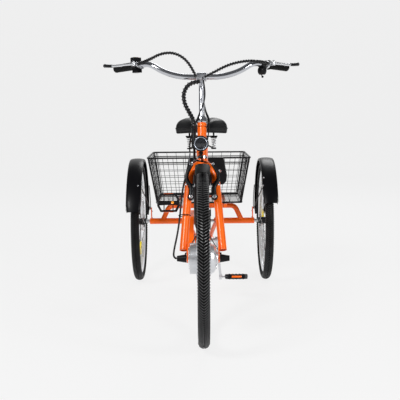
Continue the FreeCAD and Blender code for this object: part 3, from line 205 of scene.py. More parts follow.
def procedural(name, color, roughness, metallic=0.0, coat=0.0, scale=60.0, mottle=0.15,
               rough_spread=0.08, bump=0.05, pattern="noise", depth=0.0004, shine=0.5):
    """A material with mottled colour, uneven roughness and a fine surface relief."""
    paint, tree, shader = new_paint(name)
    fill_inputs(shader, metallic=metallic, coat_weight=coat, coat_roughness=0.06, specular_IOR_level=shine)
    source = add_node(tree, "TexCoord").outputs["Object"]
    broad = add_node(tree, "TexNoise", "Vector", source, scale=scale * 0.25, detail=4).outputs["Fac"]
    ramp = add_node(tree, "ValToRGB", "Fac", broad)
    for end, place, share in zip(ramp.color_ramp.elements, (0.3, 0.7), (1 - mottle, 1 + mottle)):
        end.position = place
        end.color = (*(min(1.0, channel * share) for channel in color), 1)
    tree.links.new(ramp.outputs["Color"], shader.inputs["Base Color"])
    spread = add_node(tree, "MapRange", "Value", broad, to_min=max(0.02, roughness - rough_spread),
                      to_max=min(1.0, roughness + rough_spread))
    tree.links.new(spread.outputs["Result"], shader.inputs["Roughness"])
    if bump:
        if pattern == "cells":
            fine = add_node(tree, "TexVoronoi", "Vector", source)
            fine.feature = "DISTANCE_TO_EDGE"
            output = fine.outputs["Distance"]
        else:
            fine = add_node(tree, "TexNoise", "Vector", source, detail=3)
            output = fine.outputs["Fac"]
        fill_inputs(fine, scale=scale * 6)
        add_relief(tree, shader, output, bump, depth)
    return paint


def add_relief(tree, shader, height, strength, depth):
    relief = add_node(tree, "Bump", "Height", height, strength=strength, distance=depth)
    tree.links.new(relief.outputs["Normal"], shader.inputs["Normal"])


def glowing_prism_lens(name, color):
    """Moulded reflector plastic: bright, slightly clear, with a grid of prisms and a faint painted glow in its own
    colour.
    """
    paint = procedural(name, color, 0.18, scale=90, mottle=0.2, bump=0.9, pattern="cells", depth=0.0008)
    # The emission is a painted glow: reflector plastic gives off no light of its own.
    fill_inputs(paint.node_tree.nodes["Principled BSDF"], emission_color=(*color, 1),
                emission_strength=0.15)
    return paint


def clear_glass():
    paint, tree, shader = new_paint("lamp_glass")
    fill_inputs(shader, base_color=(0.16, 0.17, 0.20, 1), transmission_weight=0.9, roughness=0.05, IOR=1.49,
                specular_IOR_level=0.2)
    waves = add_node(tree, "TexNoise", scale=120)
    add_relief(tree, shader, waves.outputs["Fac"], 0.15, 0.0005)
    return paint


PAINTS = {
    "orange_paint": procedural("orange_gloss_paint", (1.0, 0.138, 0.001), 0.30, coat=0.12, scale=40,
                               mottle=0.06, bump=0.02, shine=0.35),
    "chrome": procedural("chrome_plate", (0.54, 0.55, 0.58), 0.14, metallic=1.0, scale=90, mottle=0.05,
                         rough_spread=0.03, bump=0.0),
    "black_plastic": procedural("moulded_black_plastic", (0.005, 0.005, 0.006), 0.42, scale=160,
                                mottle=0.2, bump=0.25, depth=0.0003, shine=0.16),
    "black_fender": procedural("gloss_black_plastic", (0.004, 0.004, 0.005), 0.34, coat=0.03, scale=30,
                               mottle=0.15, rough_spread=0.06, bump=0.02, shine=0.12),
    "black_metal": procedural("black_powder_coat", (0.005, 0.005, 0.006), 0.40, coat=0.05, scale=180,
                              mottle=0.2, bump=0.3, depth=0.0002, shine=0.2),
    "grip_rubber": procedural("grip_rubber_skin", (0.005, 0.005, 0.005), 0.60, scale=200, mottle=0.25,
                              bump=0.4, depth=0.0003, shine=0.16),
    "cable_sheath": procedural("cable_sheath_skin", (0.005, 0.005, 0.006), 0.40, scale=220, mottle=0.2,
                               bump=0.15, depth=0.0002, shine=0.2),
    "tyre_rubber": procedural("tyre_rubber_skin", (0.004, 0.004, 0.004), 0.75, scale=120, mottle=0.35,
                              bump=0.35, depth=0.0003, rough_spread=0.12, shine=0.08),
    "spoke_steel": procedural("bright_steel", (0.62, 0.63, 0.64), 0.28, metallic=1.0, scale=120,
                              mottle=0.1, bump=0.05),
    "silver_alloy": procedural("satin_cast_alloy", (0.70, 0.71, 0.73), 0.34, metallic=0.9, scale=150,
                               mottle=0.06, bump=0.12, depth=0.0002),
    "saddle_vinyl": procedural("saddle_vinyl_grain", (0.004, 0.004, 0.005), 0.42, scale=110, mottle=0.25,
                               bump=0.45, pattern="cells", depth=0.0006, shine=0.2),
    "button_red": procedural("red_button_plastic", (0.55, 0.03, 0.02), 0.3, coat=0.5, scale=200,
                             mottle=0.1, bump=0.1),
    "lamp_lens": clear_glass(),
}
CHAIN_STEEL = procedural("oiled_chain_steel", (0.22, 0.20, 0.18), 0.34, metallic=1.0, scale=260,
                         mottle=0.4, bump=0.2, depth=0.0002)
AMBER = glowing_prism_lens("amber_reflector", (1.0, 0.30, 0.01))
DEEP_AMBER = glowing_prism_lens("deep_amber_reflector", (1.0, 0.14, 0.005))
YELLOW = glowing_prism_lens("yellow_reflector", (1.0, 0.72, 0.03))
PALE = glowing_prism_lens("white_reflector", (0.72, 0.74, 0.72))
MIRROR = procedural("lamp_mirror", (0.30, 0.31, 0.34), 0.14, metallic=1.0, scale=80, mottle=0.1, bump=0.1)
LAMP_RING = procedural("lamp_ring_satin", (0.50, 0.54, 0.62), 0.26, metallic=0.9, scale=120,
                       mottle=0.08, bump=0.05)
ZINC = procedural("zinc_bolt", (0.72, 0.73, 0.75), 0.26, metallic=1.0, scale=300, mottle=0.15, bump=0.1)
# The tread blocks' rubber is lighter than the casing's: a painted highlight on the blocks, not a different rubber.
TREAD_HIGHLIGHT_RUBBER = procedural("tyre_tread_painted_highlight", (0.050, 0.050, 0.052), 0.36, scale=120, mottle=0.4,
                          bump=0.3, depth=0.0003, rough_spread=0.10, shine=0.8)
SATIN_CHROME = procedural("satin_chrome_plate", (0.54, 0.55, 0.58), 0.36, metallic=1.0, scale=90,
                          mottle=0.05)
SPIRAL_WRAP = procedural("spiral_wrap_skin", (0.016, 0.016, 0.017), 0.30, scale=220, mottle=0.2,
                         bump=0.1, depth=0.0002, shine=0.6)
# The rear tyres' tread blocks: likewise a painted highlight, lighter than the casing and a little darker than the
# front's.
REAR_TREAD_HIGHLIGHT = procedural("rear_tread_painted_highlight", (0.030, 0.030, 0.031), 0.42, scale=120, mottle=0.4,
                        bump=0.3, depth=0.0003, rough_spread=0.10, shine=0.4)
RIM_ALLOY = procedural("polished_rim_alloy", (0.86, 0.87, 0.89), 0.30, metallic=0.75, scale=150,
                       mottle=0.05, bump=0.05, depth=0.0002)
SATIN_BLACK = procedural("satin_black_plastic", (0.003, 0.003, 0.003), 0.55, scale=40, mottle=0.15,
                         bump=0.05, shine=0.06)
BRAKE_RUBBER = procedural("brake_block_rubber", (0.015, 0.015, 0.016), 0.75, scale=200, mottle=0.3,
                          bump=0.4, shine=0.3)


def paint_cad_nodes():
    slots = {row["node"]: row["material_slot"] for row in frame["record"]["subparts"]}
    for name, item in NODES.items():
        item.data.materials.clear()
        item.data.materials.append(PAINTS[slots[name]])
    for name in ("chain", "chainring", "rear_sprocket"):
        NODES[name].data.materials[0] = CHAIN_STEEL
    for name in ("front_rim", "left_rear_rim", "right_rear_rim"):
        NODES[name].data.materials[0] = RIM_ALLOY


# ------------------------------------------------------------ mesh building

class Shape:
    """Collects the vertices and faces of one piece; places are in metres and sizes in mm."""

    def __init__(self):
        self.verts, self.faces = [], []

    def loft(self, rings, closed=False):
        """Quads between rings of equal length; closed joins the last ring to the first."""
        count, size, base = len(rings), len(rings[0]), len(self.verts)
        self.verts += [tuple(vert) for ring in rings for vert in ring]
        for row in range(count if closed else count - 1):
            here, after = base + row * size, base + (row + 1) % count * size
            for index in range(size):
                beside = (index + 1) % size
                self.faces.append((here + index, here + beside, after + beside, after + index))
        if not closed:
            last = base + (count - 1) * size
            self.faces += [tuple(reversed(range(base, base + size))), tuple(range(last, last + size))]

    def tube(self, path, radius, sides=12, flat=1.0, lean=None, closed=False):
        """A round or flattened bar along a path; radius is a number or one number for each point."""
        path = [Vector(point) for point in path]
        count = len(path)
        tangents = []
        for index in range(count):
            before = path[index - 1] if index or closed else path[0]
            after = path[(index + 1) % count] if index < count - 1 or closed else path[-1]
            tangents.append((after - before).normalized())
        normal = lean.copy() if lean else tangents[0].orthogonal()
        rings = []
        for index, (point, tangent) in enumerate(zip(path, tangents)):
            normal = (normal - tangent * normal.dot(tangent)).normalized()
            across = tangent.cross(normal)
            size = (radius[index] if isinstance(radius, (list, tuple)) else radius) * MM
            rings.append([point + normal * size * flat * cos(a) + across * size * sin(a)
                          for a in (TURN * side / sides for side in range(sides))])
        self.loft(rings, closed)

    def turned(self, profile, centre, axis, segments=48):
        """A closed profile of (radius, along) in mm turned about an axis."""
        axis = Vector(axis).normalized()
        first = axis.orthogonal().normalized()
        second = axis.cross(first)
        rings = []
        for step in range(segments):
            angle = TURN * step / segments
            outward = first * cos(angle) + second * sin(angle)
            rings.append([Vector(centre) + outward * radius * MM + axis * along * MM
                          for radius, along in profile])
        self.loft(rings, closed=True)

    def ball(self, centre, radius):
        self.loft([[centre + mm(cos(t) * sin(a), sin(t) * sin(a), -cos(a)) * radius
                    for t in (TURN * step / 12 for step in range(12))]
                   for a in (pi * (step + 0.5) / 8 for step in range(8))])

    def prism(self, outline, thickness, centre, across, up):
        """A flat outline of (across, up) pairs in mm, given thickness about its own plane."""
        across, up = Vector(across).normalized(), Vector(up).normalized()
        normal = across.cross(up).normalized()
        self.loft([[centre + (across * a + up * b + normal * depth) * MM for a, b in outline]
                   for depth in (-thickness / 2, thickness / 2)])

    def brick(self, sizes, centre, across, up, bevel=0.15):
        """A box with chamfered upright edges."""
        wide, high, deep = sizes[0] / 2, sizes[1] / 2, sizes[2]
        cut = min(wide, high) * 2 * bevel
        outline = [(-wide + cut, -high), (wide - cut, -high), (wide, -high + cut), (wide, high - cut),
                   (wide - cut, high), (-wide + cut, high), (-wide, high - cut), (-wide, -high + cut)]
        self.prism(outline, deep, centre, across, up)

    def bolt(self, centre, axis, radius, height, socket=True):
        """A domed bolt head with a recess."""
        head = [(1, 0), (1, 0.55), (0.82, 0.9), (0.5, 1)] + ([(0.45, 1), (0.42, 0.45)] if socket else [])
        profile = [(radius * share, height * up) for share, up in head]
        self.turned(profile + [(0.05, profile[-1][1])], centre, axis, 12)

    def piece(self, name, body, slot, paint=None, crease=35):
        """The finished object, smooth except where faces meet at more than the crease's degrees."""
        mesh = bpy.data.meshes.new(name)
        mesh.from_pydata(self.verts, [], self.faces)
        mesh.validate()
        item = linked(name, mesh)
        mesh.materials.append(paint if paint else PAINTS[slot])
        work = bmesh.new()
        work.from_mesh(mesh)
        bmesh.ops.recalc_face_normals(work, faces=work.faces)
        for face in work.faces:
            face.smooth = True
        for edge in work.edges:
            if len(edge.link_faces) == 2 and edge.calc_face_angle(0) > radians(crease):
                edge.smooth = False
        work.to_mesh(mesh)
        work.free()
        if body:
            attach(item, body)
        return item


def curved(points, steps=8):
    """A smooth path that starts and ends at the end points and bends towards the others."""
    points = [Vector(point) for point in points]
    if len(points) < 3:
        return points
    path = [points[0]]
    for index in range(1, len(points) - 1):
        start = points[0] if index == 1 else (points[index - 1] + points[index]) / 2
        end = points[-1] if index == len(points) - 2 else (points[index] + points[index + 1]) / 2
        for step in range(1, steps + 1):
            share = step / steps
            path.append(start * (1 - share) ** 2 + points[index] * 2 * share * (1 - share)
                        + end * share ** 2)
    return path


def rounded(points, radii, steps=14):
    """Straight runs joined by tangent arcs, each as large as its two runs allow."""
    points = [Vector(point) for point in points]
    path = [points[0]]
    for index in range(1, len(points) - 1):
        before, corner, after = points[index - 1:index + 2]
        inward, outward = corner - before, after - corner
        turn = inward.angle(outward)
        reach = 0.45 * min(inward.length, outward.length)
        radius = min(reach / tan(turn / 2), radii.get(index, 1000) * MM)
        reach = radius * tan(turn / 2)
        first = corner - inward.normalized() * reach
        centre = corner + (outward.normalized() - inward.normalized()).normalized() * (
            radius / cos(turn / 2))
        spin = inward.cross(outward).normalized()
        path += [centre + Matrix.Rotation(turn * step / steps, 3, spin) @ (first - centre)
                 for step in range(steps + 1)]
    return path + [points[-1]]


def even(path, spacing):
    """Points at equal distances along a path."""
    out, carry = [path[0]], 0.0
    for start, end in zip(path, path[1:]):
        length = (end - start).length
        place = spacing - carry
        while place <= length:
            out.append(start.lerp(end, place / length))
            place += spacing
        carry = length - (place - spacing)
    return out


def frames(path):
    """Tangent, normal and binormal at each point, turning as little as possible."""
    normal, out = None, []
    for index, point in enumerate(path):
        tangent = (path[min(index + 1, len(path) - 1)] - path[max(index - 1, 0)]).normalized()
        normal = tangent.orthogonal() if normal is None else normal - tangent * normal.dot(tangent)
        normal.normalize()
        out.append((point, tangent, normal.copy(), tangent.cross(normal)))
    return out


def mm(*values):
    return Vector(values) * MM


def wheel_spoke(turn):
    """The direction of a spoke that has turned up from straight back."""
    return Vector((0, cos(turn), sin(turn)))


def guard_spoke(turn):
    """The direction of a spoke that has turned forwards from straight up."""
    return Vector((0, -sin(turn), cos(turn)))


# ------------------------------------------------------------ wheels

def make_tyre(name, node, centre, body, tread_highlight_paint):
    """Casing with sidewall rings, and a herringbone of slanted ribs with shoulder blocks; the ribs and blocks take
    a lighter rubber as a painted highlight.
    """
    outer_r = centre.z / MM
    section, lift, foot = 22.5, 3.4, -0.3
    ring_r = outer_r - section
    shape = Shape()
    profile = []
    for step in range(25):
        angle = radians(-140 + 280 * step / 24)
        ridge = 0.5 if step in (4, 20) else 0.0
        radius = section - lift + ridge
        profile.append((ring_r + radius * cos(angle), radius * sin(angle)))
    profile += [(profile[-1][0] - 0.5, 9), (profile[-1][0] - 0.5, -9)]
    shape.turned(profile, centre, X_AXIS, 120)

    def on_tyre(turn, across, height):
        reach = section - lift + height
        outward = (ring_r + reach * cos(across)) * MM
        return centre + mm(reach * sin(across), 0, 0) + wheel_spoke(turn) * outward

    def rib(turn, side, rows):
        """A raised block along rows of (across, lead, half width, height)."""
        blocks.loft([[on_tyre(turn + lead - wide, side * across, foot),
                      on_tyre(turn + lead - wide * 0.8, side * across, top),
                      on_tyre(turn + lead + wide * 0.8, side * across, top),
                      on_tyre(turn + lead + wide, side * across, foot)]
                     for across, lead, wide, top in rows])

    tyre = shape.piece(name, body, "tyre_rubber")
    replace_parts(tyre, node)
    blocks = Shape()
    pitch, edge = 10.8, 1.08
    count = round(TURN * outer_r / pitch / 2) * 2
    half, slope = pi / count, 16 / outer_r
    slanted = [(across, slope * (1 - across / edge), half * (0.27 if across < 0.9 else 0.42),
                lift if across < 1.0 else lift * 0.6) for across in (0.05, 0.32, 0.60, 0.88, edge)]
    shoulder = [(across, -slope * 0.3, half * 0.62, top)
                for across, top in ((1.15, 3.0), (1.36, 2.7), (1.52, 0.4))]
    for index in range(count):
        for side in (1, -1):
            rib(TURN * index / count, side, slanted)
            rib(TURN * index / count, side, shoulder)
    # The ribs' and blocks' rubber is lighter than the casing's: a painted highlight.
    blocks.piece(name + "_blocks", body, "tyre_rubber", tread_highlight_paint)


def make_wheel_trim(prefix, centre, body, rim_r, count=36):
    """Spoke nipples, and the valve stem with its cap."""
    nipples = Shape()
    for index in range(count):
        outward = wheel_spoke(TURN * index / count)
        side = 1 if index % 2 else -1
        base = centre + outward * (rim_r - 13.6) * MM + mm(side * 2.9, 0, 0)
        nipples.tube([base, base - outward * 9 * MM], 1.9, 6)
    nipples.piece(prefix + "_nipples", body, "spoke_steel")
    outward = wheel_spoke(TURN * 5.5 / count)
    valve = Shape()
    valve.tube([centre + outward * (rim_r - 13.6 - drop) * MM for drop in (0, 20, 22, 32, 33)],
               [3, 3, 3.9, 3.9, 2.5], 12)
    valve.piece(prefix + "_valve", body, "black_plastic")


def make_spoke_reflector(prefix, centre, body, rim_r, turn, offset):
    """A curved yellow reflector clipped across two spokes."""
    shape = Shape()
    inner, outer = (rim_r - 88) * MM, (rim_r - 52) * MM
    rings = []
    for step in range(9):
        outward = wheel_spoke(turn + (step - 4) * 0.045)
        half = mm(3 + 1.6 * (1 - ((step - 4) / 4.4) ** 2), 0, 0)
        base = centre + mm(offset, 0, 0)
        rings.append([base + outward * reach + half * side
                      for reach, side in ((inner, -1), (outer, -1), (outer, 1), (inner, 1))])
    shape.loft(rings)
    shape.piece(prefix + "_spoke_reflector", body, "spoke_steel", YELLOW)


def make_wheels():
    make_tyre("front_tyre_tread", "front_tyre", FRONT_AXLE, "front_wheel", TREAD_HIGHLIGHT_RUBBER)
    make_wheel_trim("front_wheel", FRONT_AXLE, "front_wheel", 279.5)
    for side, word in SIDES:
        centre, body = REAR_AXLE[side], word + "_wheel"
        make_tyre(word + "_tyre_tread", word + "_rear_tyre", centre, body, REAR_TREAD_HIGHLIGHT)
        rim_r, first = 253.5, -58 if side == RIGHT else 178
        make_wheel_trim(word + "_rear_wheel", centre, body, rim_r)
        for index in (0, 1):
            turn = radians(first + 180 * index)
            make_spoke_reflector(f"{word}_wheel_{index}", centre, body, rim_r, turn, side * 4)
    bolts = Shape()
    for side in (LEFT, RIGHT):
        face = FRONT_AXLE + mm(46.2 if side == LEFT else -49.5, 0, 0)
        for index in range(6):
            bolts.bolt(face + wheel_spoke(TURN * (index + 0.5) / 6) * 38 * MM, (side, 0, 0), 3.2, 2.6)
    bolts.piece("motor_cover_screws", "front_wheel", "spoke_steel", ZINC)


# ------------------------------------------------------------ mudguards

def guard_profile(half, crown, drop_in, drop_out, thickness=1.8):
    """A mudguard's cross-section as (height, across) in mm, outside first and then inside."""
    outer = [(-drop_in, -half)]
    for step in range(13):
        angle = pi * (1 - step / 12)
        outer.append((crown * sin(angle) ** 0.8 if 0 < step < 12 else 0, half * cos(angle)))
    outer.append((-drop_out, half))
    shrink = 1 - thickness / half
    return outer + [(height - (thickness if height > -crown * 0.4 else 0), across * shrink)
                    for height, across in reversed(outer)]


def make_guard(shape, centre, side, radius, profile, start_turn, end_turn, segments=60):
    """The section carried round the wheel from start_turn ahead of the top to end_turn behind."""
    rings = []
    for step in range(segments + 1):
        outward = guard_spoke(start_turn + (end_turn - start_turn) * step / segments)
        near = min(step, segments - step, 3) / 3
        taper = 1 - 0.5 * (1 - near) ** 2
        rings.append([centre + outward * (radius + height * (1 if height > 0 else taper)) * MM
                      + mm(side * across * (0.88 + 0.12 * near), 0, 0) for height, across in profile])
    shape.loft(rings)


def make_front_guard():
    shape, stays = Shape(), Shape()
    crown, wheel_r = 14, FRONT_AXLE.z / MM
    profile = guard_profile(27, crown, 5, 5)
    make_guard(shape, FRONT_AXLE, 1, wheel_r + 22 - crown, profile, radians(20), radians(-105))
    guard = shape.piece("front_mudguard", "steering", "black_fender", SATIN_BLACK)
    for side in (LEFT, RIGHT):
        rear = FRONT_AXLE + mm(side * 28.6, 0, 0) + guard_spoke(radians(-86)) * (wheel_r + 14) * MM
        start = steer(side * 62.8, 37, 19)
        stays.tube(curved([start, start + mm(0, 10, 1), start.lerp(rear, 0.5), rear]), 2.0, 10)
        for spot, radius in ((rear, 4), (start, 5)):
            stays.bolt(spot + mm(side * 1.5, 0, 0), (side, 0, 0), radius, 3)
    stays.piece("front_mudguard_stays", "steering", "black_fender", PAINTS["black_metal"])
    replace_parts(guard, "front_fender")


def make_rear_guard(side, word, front_turn):
    """A rear mudguard with its stays, bolts and side reflector; front_turn is in degrees."""
    centre = REAR_AXLE[side] + mm(side * 5, 0, 0)
    crown = 9
    top = centre.z / MM + 21.5 - crown

    def on_guard(turn, across, above):
        """A point by its turn, and its distances across and above the section's base."""
        return centre + mm(side * across, 0, 0) + guard_spoke(turn) * (top + above) * MM

    shape, stays, bolts, lamp = Shape(), Shape(), Shape(), Shape()
    profile = guard_profile(36, crown, 7, 33)
    make_guard(shape, centre, side, top, profile, radians(front_turn), radians(-92))
    guard = shape.piece(word + "_mudguard", "frame", "black_fender")
    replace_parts(guard, word + "_rear_fender")
    for turn, offset in ((radians(52), -6), (radians(-60), 6)):
        upper = on_guard(turn, -38.8, -3)
        lower = Vector((side * 262.6 * MM, centre.y + offset * MM, centre.z + 62 * MM))
        knee = lower.lerp(upper, 0.35) - mm(side * 4, 0, 6)
        stays.tube(curved([lower, knee, upper]), 2.3, 10)
        bolts.bolt(lower + mm(side * 2.6, 0, 0), (side, 0, 0), 5, 3)
    for turn in (radians(front_turn - 20), radians(front_turn - 29), 0.1):
        bolts.bolt(on_guard(turn, 35.6, -17), (side, 0, 0), 4.6, 3)
    for place, across in ((49.6, -20),) if side == RIGHT else ((41.6, -28), (50, -33)):
        turn, rise = radians(place), crown * sqrt(1 - (across / 36) ** 2) ** 0.8
        bolts.bolt(on_guard(turn, across, rise - 0.6), guard_spoke(turn), 4.4, 2.6)
    stays.piece(word + "_mudguard_stays", "frame", "black_fender", PAINTS["black_metal"])
    bolts.piece(word + "_mudguard_bolts", "frame", "black_fender", ZINC)
    turn = radians(front_turn - 5)
    outward = guard_spoke(turn)
    lamp.brick((34, 12, 3), on_guard(turn, 36.4, -12), outward.cross(-X_AXIS), outward)
    lamp.piece(word + "_side_reflector", "frame", "black_fender", PALE)


# ------------------------------------------------------------ basket

def make_basket():
    """A tapered wire basket: rims, corner rods, a floor bar and a net of thin wires."""
    low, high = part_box("rear_basket")
    floor = [vert.co for vert in NODES["rear_basket"].data.vertices if vert.co.z < low.z + 1 * MM]
    x0, x1 = min(point.x for point in floor), max(point.x for point in floor)
    y0, y1 = min(point.y for point in floor), max(point.y for point in floor)
    inset = 2 * MM

    def corners(share):
        """The left, right, front and back of the basket, and the height, at a share of its depth."""
        return (x0 + (low.x - x0) * share + inset, x1 + (high.x - x1) * share - inset,
                y0 + (low.y - y0) * share + inset, y1 + (high.y - y1) * share - inset,
                low.z + 2 * MM + (high.z - low.z - 4 * MM) * share)

    def ring(share, bend=22 * MM):
        left, right, front, back, z = corners(share)
        path = []
        for first, (cx, cy) in enumerate(((right - bend, back - bend), (left + bend, back - bend),
                                          (left + bend, front + bend), (right - bend, front + bend))):
            for step in range(7):
                angle = pi / 2 * (first + step / 6)
                path.append(Vector((cx + bend * cos(angle), cy + bend * sin(angle), z)))
        return path

    rods, wires = Shape(), Shape()
    rods.tube(ring(1.0), 4.0, 10, closed=True)
    rods.tube(ring(0.90), 2.6, 8, closed=True)
    rods.tube(ring(0.0, 14 * MM), 3.8, 10, closed=True)
    wire_r, levels, columns, bend, nudge = 1.15, 7, 9, 14 * MM, 2 * MM
    for level in range(1, levels):
        wires.tube(ring(level / levels), wire_r, 6, closed=True)
    for lengthwise in (True, False):
        floor_z = low.z + (1.6 if lengthwise else 4.4) * MM
        for index in range(columns + 1):
            place = 0.045 + 0.91 * index / columns
            ends = []
            for share in (1.0, 0.08):
                left, right, front, back, z = corners(share)
                sides, ahead = (left, right), (front, back)
                if not lengthwise:
                    sides, ahead = ahead, sides
                ends.append((sides[0] + (sides[1] - sides[0]) * place, *ahead, z))
            (top, top_start, top_end, top_z), (spot, start, end, z) = ends
            run = [(top, top_start, top_z), (spot, start, z), (spot, start + nudge, floor_z),
                   (spot, start + bend, floor_z), (spot, end - bend, floor_z),
                   (spot, end - nudge, floor_z), (spot, end, z), (top, top_end, top_z)]
            wires.tube([(a, b, c) if lengthwise else (b, a, c) for a, b, c in run], wire_r, 6)
    bottom, top = corners(0.02), corners(1.0)
    for dx, sign_x in ((0, 1), (1, -1)):
        for dy, sign_y in ((2, 1), (3, -1)):
            for slip_x, slip_y in ((7, 7), (16, 2.5), (2.5, 16)):
                inward = mm(sign_x * slip_x, sign_y * slip_y, 0)
                rods.tube([Vector((bottom[dx], bottom[dy], bottom[4])) + inward * 0.6,
                           Vector((top[dx], top[dy], top[4])) + inward], 2.2, 8)
    bar_y, bar_z = 0.611, low.z + 7 * MM
    rods.tube([(x0 + 6 * MM, bar_y, bar_z), (x1 - 6 * MM, bar_y, bar_z)], 5.5)
    basket = rods.piece("basket_rods", "frame", "black_metal")
    wires.piece("basket_wires", "frame", "black_metal")
    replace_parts(basket, "rear_basket")


# ------------------------------------------------------------ saddle

def saddle_outline(turn, length, half):
    """The saddle's plan: a rounded wide back that narrows to a rounded nose."""
    along, across = cos(turn), sin(turn)
    narrowing = 1 - 0.56 * max(0.0, -along) ** 0.8
    squared = copysign(abs(across) ** 0.82, across)
    return Vector((half * squared * narrowing, length / 2 * along, 0))


def make_saddle():
    """The padded cover with its piping, the pan under it and the rivets."""
    low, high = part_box("saddle_cover")
    centre = Vector((0, (low.y + high.y) / 2, low.z))
    half, length, height = (high.x - low.x) / 2, high.y - low.y, high.z - low.z
    around = 72

    def on_saddle(turn, share, up):
        """A point on the pad: two lobes with a trough between, and sides that droop."""
        point = saddle_outline(turn, length, half) * share
        back = max(0.0, min(1.0, point.y / length + 0.5))
        across = min(1.0, abs(point.x) / half)
        crown = 0.80 + 0.15 * back ** 1.4
        deep = max(0.0, min(1.0, (up - 0.45) * 2.2))
        fade = 1 - 0.6 * max(0.0, (back - 0.8) / 0.2)
        trough = (0.12 + 0.20 * (1 - back)) * deep * fade * exp(-(across / 0.24) ** 2)
        lobes = 0.07 * up * exp(-((across - 0.50) / 0.26) ** 2)
        sag = (1 - up) * (0.05 - 0.14 * across ** 1.5)
        return centre + point + Vector((0, 0, height * min(1.0, up * crown - trough + lobes + sag)))

    def ring(share, up, drop=0):
        return [on_saddle(TURN * step / around, share, up) + mm(0, 0, drop) for step in range(around)]

    pad, seam, pan, rivets = Shape(), Shape(), Shape(), Shape()
    pad.loft([ring(share, up) for share, up in (
        (0.90, 0.02), (0.965, 0.05), (0.99, 0.16), (1.0, 0.32), (0.995, 0.45), (0.975, 0.60), (0.93, 0.745),
        (0.86, 0.855), (0.76, 0.93), (0.62, 0.975), (0.45, 0.99), (0.28, 0.99), (0.12, 0.985),
        (0.02, 0.985))])
    saddle = pad.piece("saddle_pad", "seat", "saddle_vinyl", crease=80)
    refine = saddle.modifiers.new("refine", "SUBSURF")
    refine.levels = refine.render_levels = 1
    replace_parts(saddle, "saddle_cover")
    seam.tube([on_saddle(TURN * step / 96, 1.001, 0.36) for step in range(96)], 1.9, 8, closed=True)
    seam.piece("saddle_piping", "seat", "saddle_vinyl", PAINTS["black_plastic"])
    pan.loft([ring(share, 0.02, drop) for share, drop in (
        (0.97, 3.5), (0.99, 7), (0.93, -0.5), (0.70, -2.5), (0.2, -2.5))])
    pan.piece("saddle_pan", "seat", "black_plastic")
    for side in (LEFT, RIGHT):
        for turn in (0.5, 1.1):
            spot = on_saddle(side * turn, 1.0, 0.14)
            rivets.bolt(spot, (spot.x - centre.x, spot.y - centre.y, 0), 3.2, 2, socket=False)
    rivets.piece("saddle_rivets", "seat", "spoke_steel", ZINC)


# ------------------------------------------------------------ cables

def wrapped(shape, wrap, path, radius, pitch, band):
    """A loom: a core tube, and a spiral band wound round it."""
    shape.tube(even(path, 4 * MM), radius - band, 10)
    coil, turns = [], 14
    for index, (point, _, normal, across) in enumerate(frames(even(path, pitch * MM / turns))):
        angle = TURN * index / turns
        coil.append(point + (normal * cos(angle) + across * sin(angle)) * (radius - band * 0.6) * MM)
    wrap.tube(coil, band, 6)


def make_bar_looms():
    """The two wrapped looms of the bar."""
    right_loom = [at_bar(RIGHT, 177, 22, 3), mm(-196, -338, 1054), mm(-156, -354, 1074),
                  mm(-108, -362, 1078), mm(-66, -366, 1058), mm(-36, -368, 1020), mm(-20, -368, 984)]
    left_loom = [at_bar(LEFT, 151, 22, 3), mm(206, -336, 1046), mm(150, -354, 1042), mm(98, -364, 1028),
                 mm(50, -369, 1004), mm(10, -370, 984)]
    core, wrap = Shape(), Shape()
    for route in (right_loom, left_loom):
        wrapped(core, wrap, curved(route, 12), 6, 10.5, 1.7)
    looms = core.piece("bar_loom_cores", "steering", "cable_sheath")
    wrap.piece("bar_loom_spirals", "steering", "cable_sheath", SPIRAL_WRAP)
    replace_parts(looms, "bar_cables")


def cable(points):
    """A cable's smooth route, in steps of 5 mm."""
    return even(curved(points, 12), 5 * MM)


def make_fork_cables():
    """The motor, brake and lamp cables, which turn with the fork."""
    thin, lead = Shape(), Shape()
    thin.tube(cable([FRONT_AXLE - mm(97, 0, 0)] + [steer(*place) for place in (
        (-109, 50, 3), (-107, 47, 32), (-95, 39, 88), (-86, 33, 150), (-81, 29, 212), (-74, 26, 272),
        (-62, 25, 322), (-44, 22, 366))]), 3.5)
    thin.tube(cable([mm(*place) for place in (
        (4, -384, 984), (13, -394, 940), (10, -404, 890), (-14, -410, 838), (-38, -414, 776),
        (-49, -416, 730), (-46, -419, 698))]), 2.6, 10)
    lamp_wire = cable([mm(8, -408, 728)] + [steer(*place) for place in (
        (20, 26, 450), (25, 12, 492), (27, 0, 530), (27, -8, 556), (14, -19, 590), (5, -17, 660),
        (4, -15, 720))])
    heights = [(point - STEER_ORIGIN).dot(STEER_UP) for point in lamp_wire]
    sizes = [2.2 + 2.6 * exp(-((height - 0.562) / 0.035) ** 2) for height in heights]
    thin.tube(lamp_wire[9:], sizes[9:])
    thin.piece("brake_motor_and_lamp_cables", "steering", "cable_sheath")
    lead.tube(lamp_wire[:10], sizes[:10])
    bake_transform(lead.piece("lamp_lead", None, "cable_sheath"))


def make_trunk():
    """The thick bundle from the bar down to the head tube."""
    bundle = [mm(-6, -368, 968), mm(-44, -366, 966), mm(-70, -356, 930), mm(-68, -346, 888),
              mm(-48, -334, 850), steer(-31, -4, 546), steer(-31, -4, 524)]
    core, wrap = Shape(), Shape()
    wrapped(core, wrap, curved(bundle, 14), 9, 13, 2.3)
    trunk = core.piece("trunk_core", None, "cable_sheath")
    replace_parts(trunk, "steering_loom")
    spiral = wrap.piece("trunk_spiral", None, "cable_sheath", SPIRAL_WRAP)
    for item in (trunk, spiral):
        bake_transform(item)


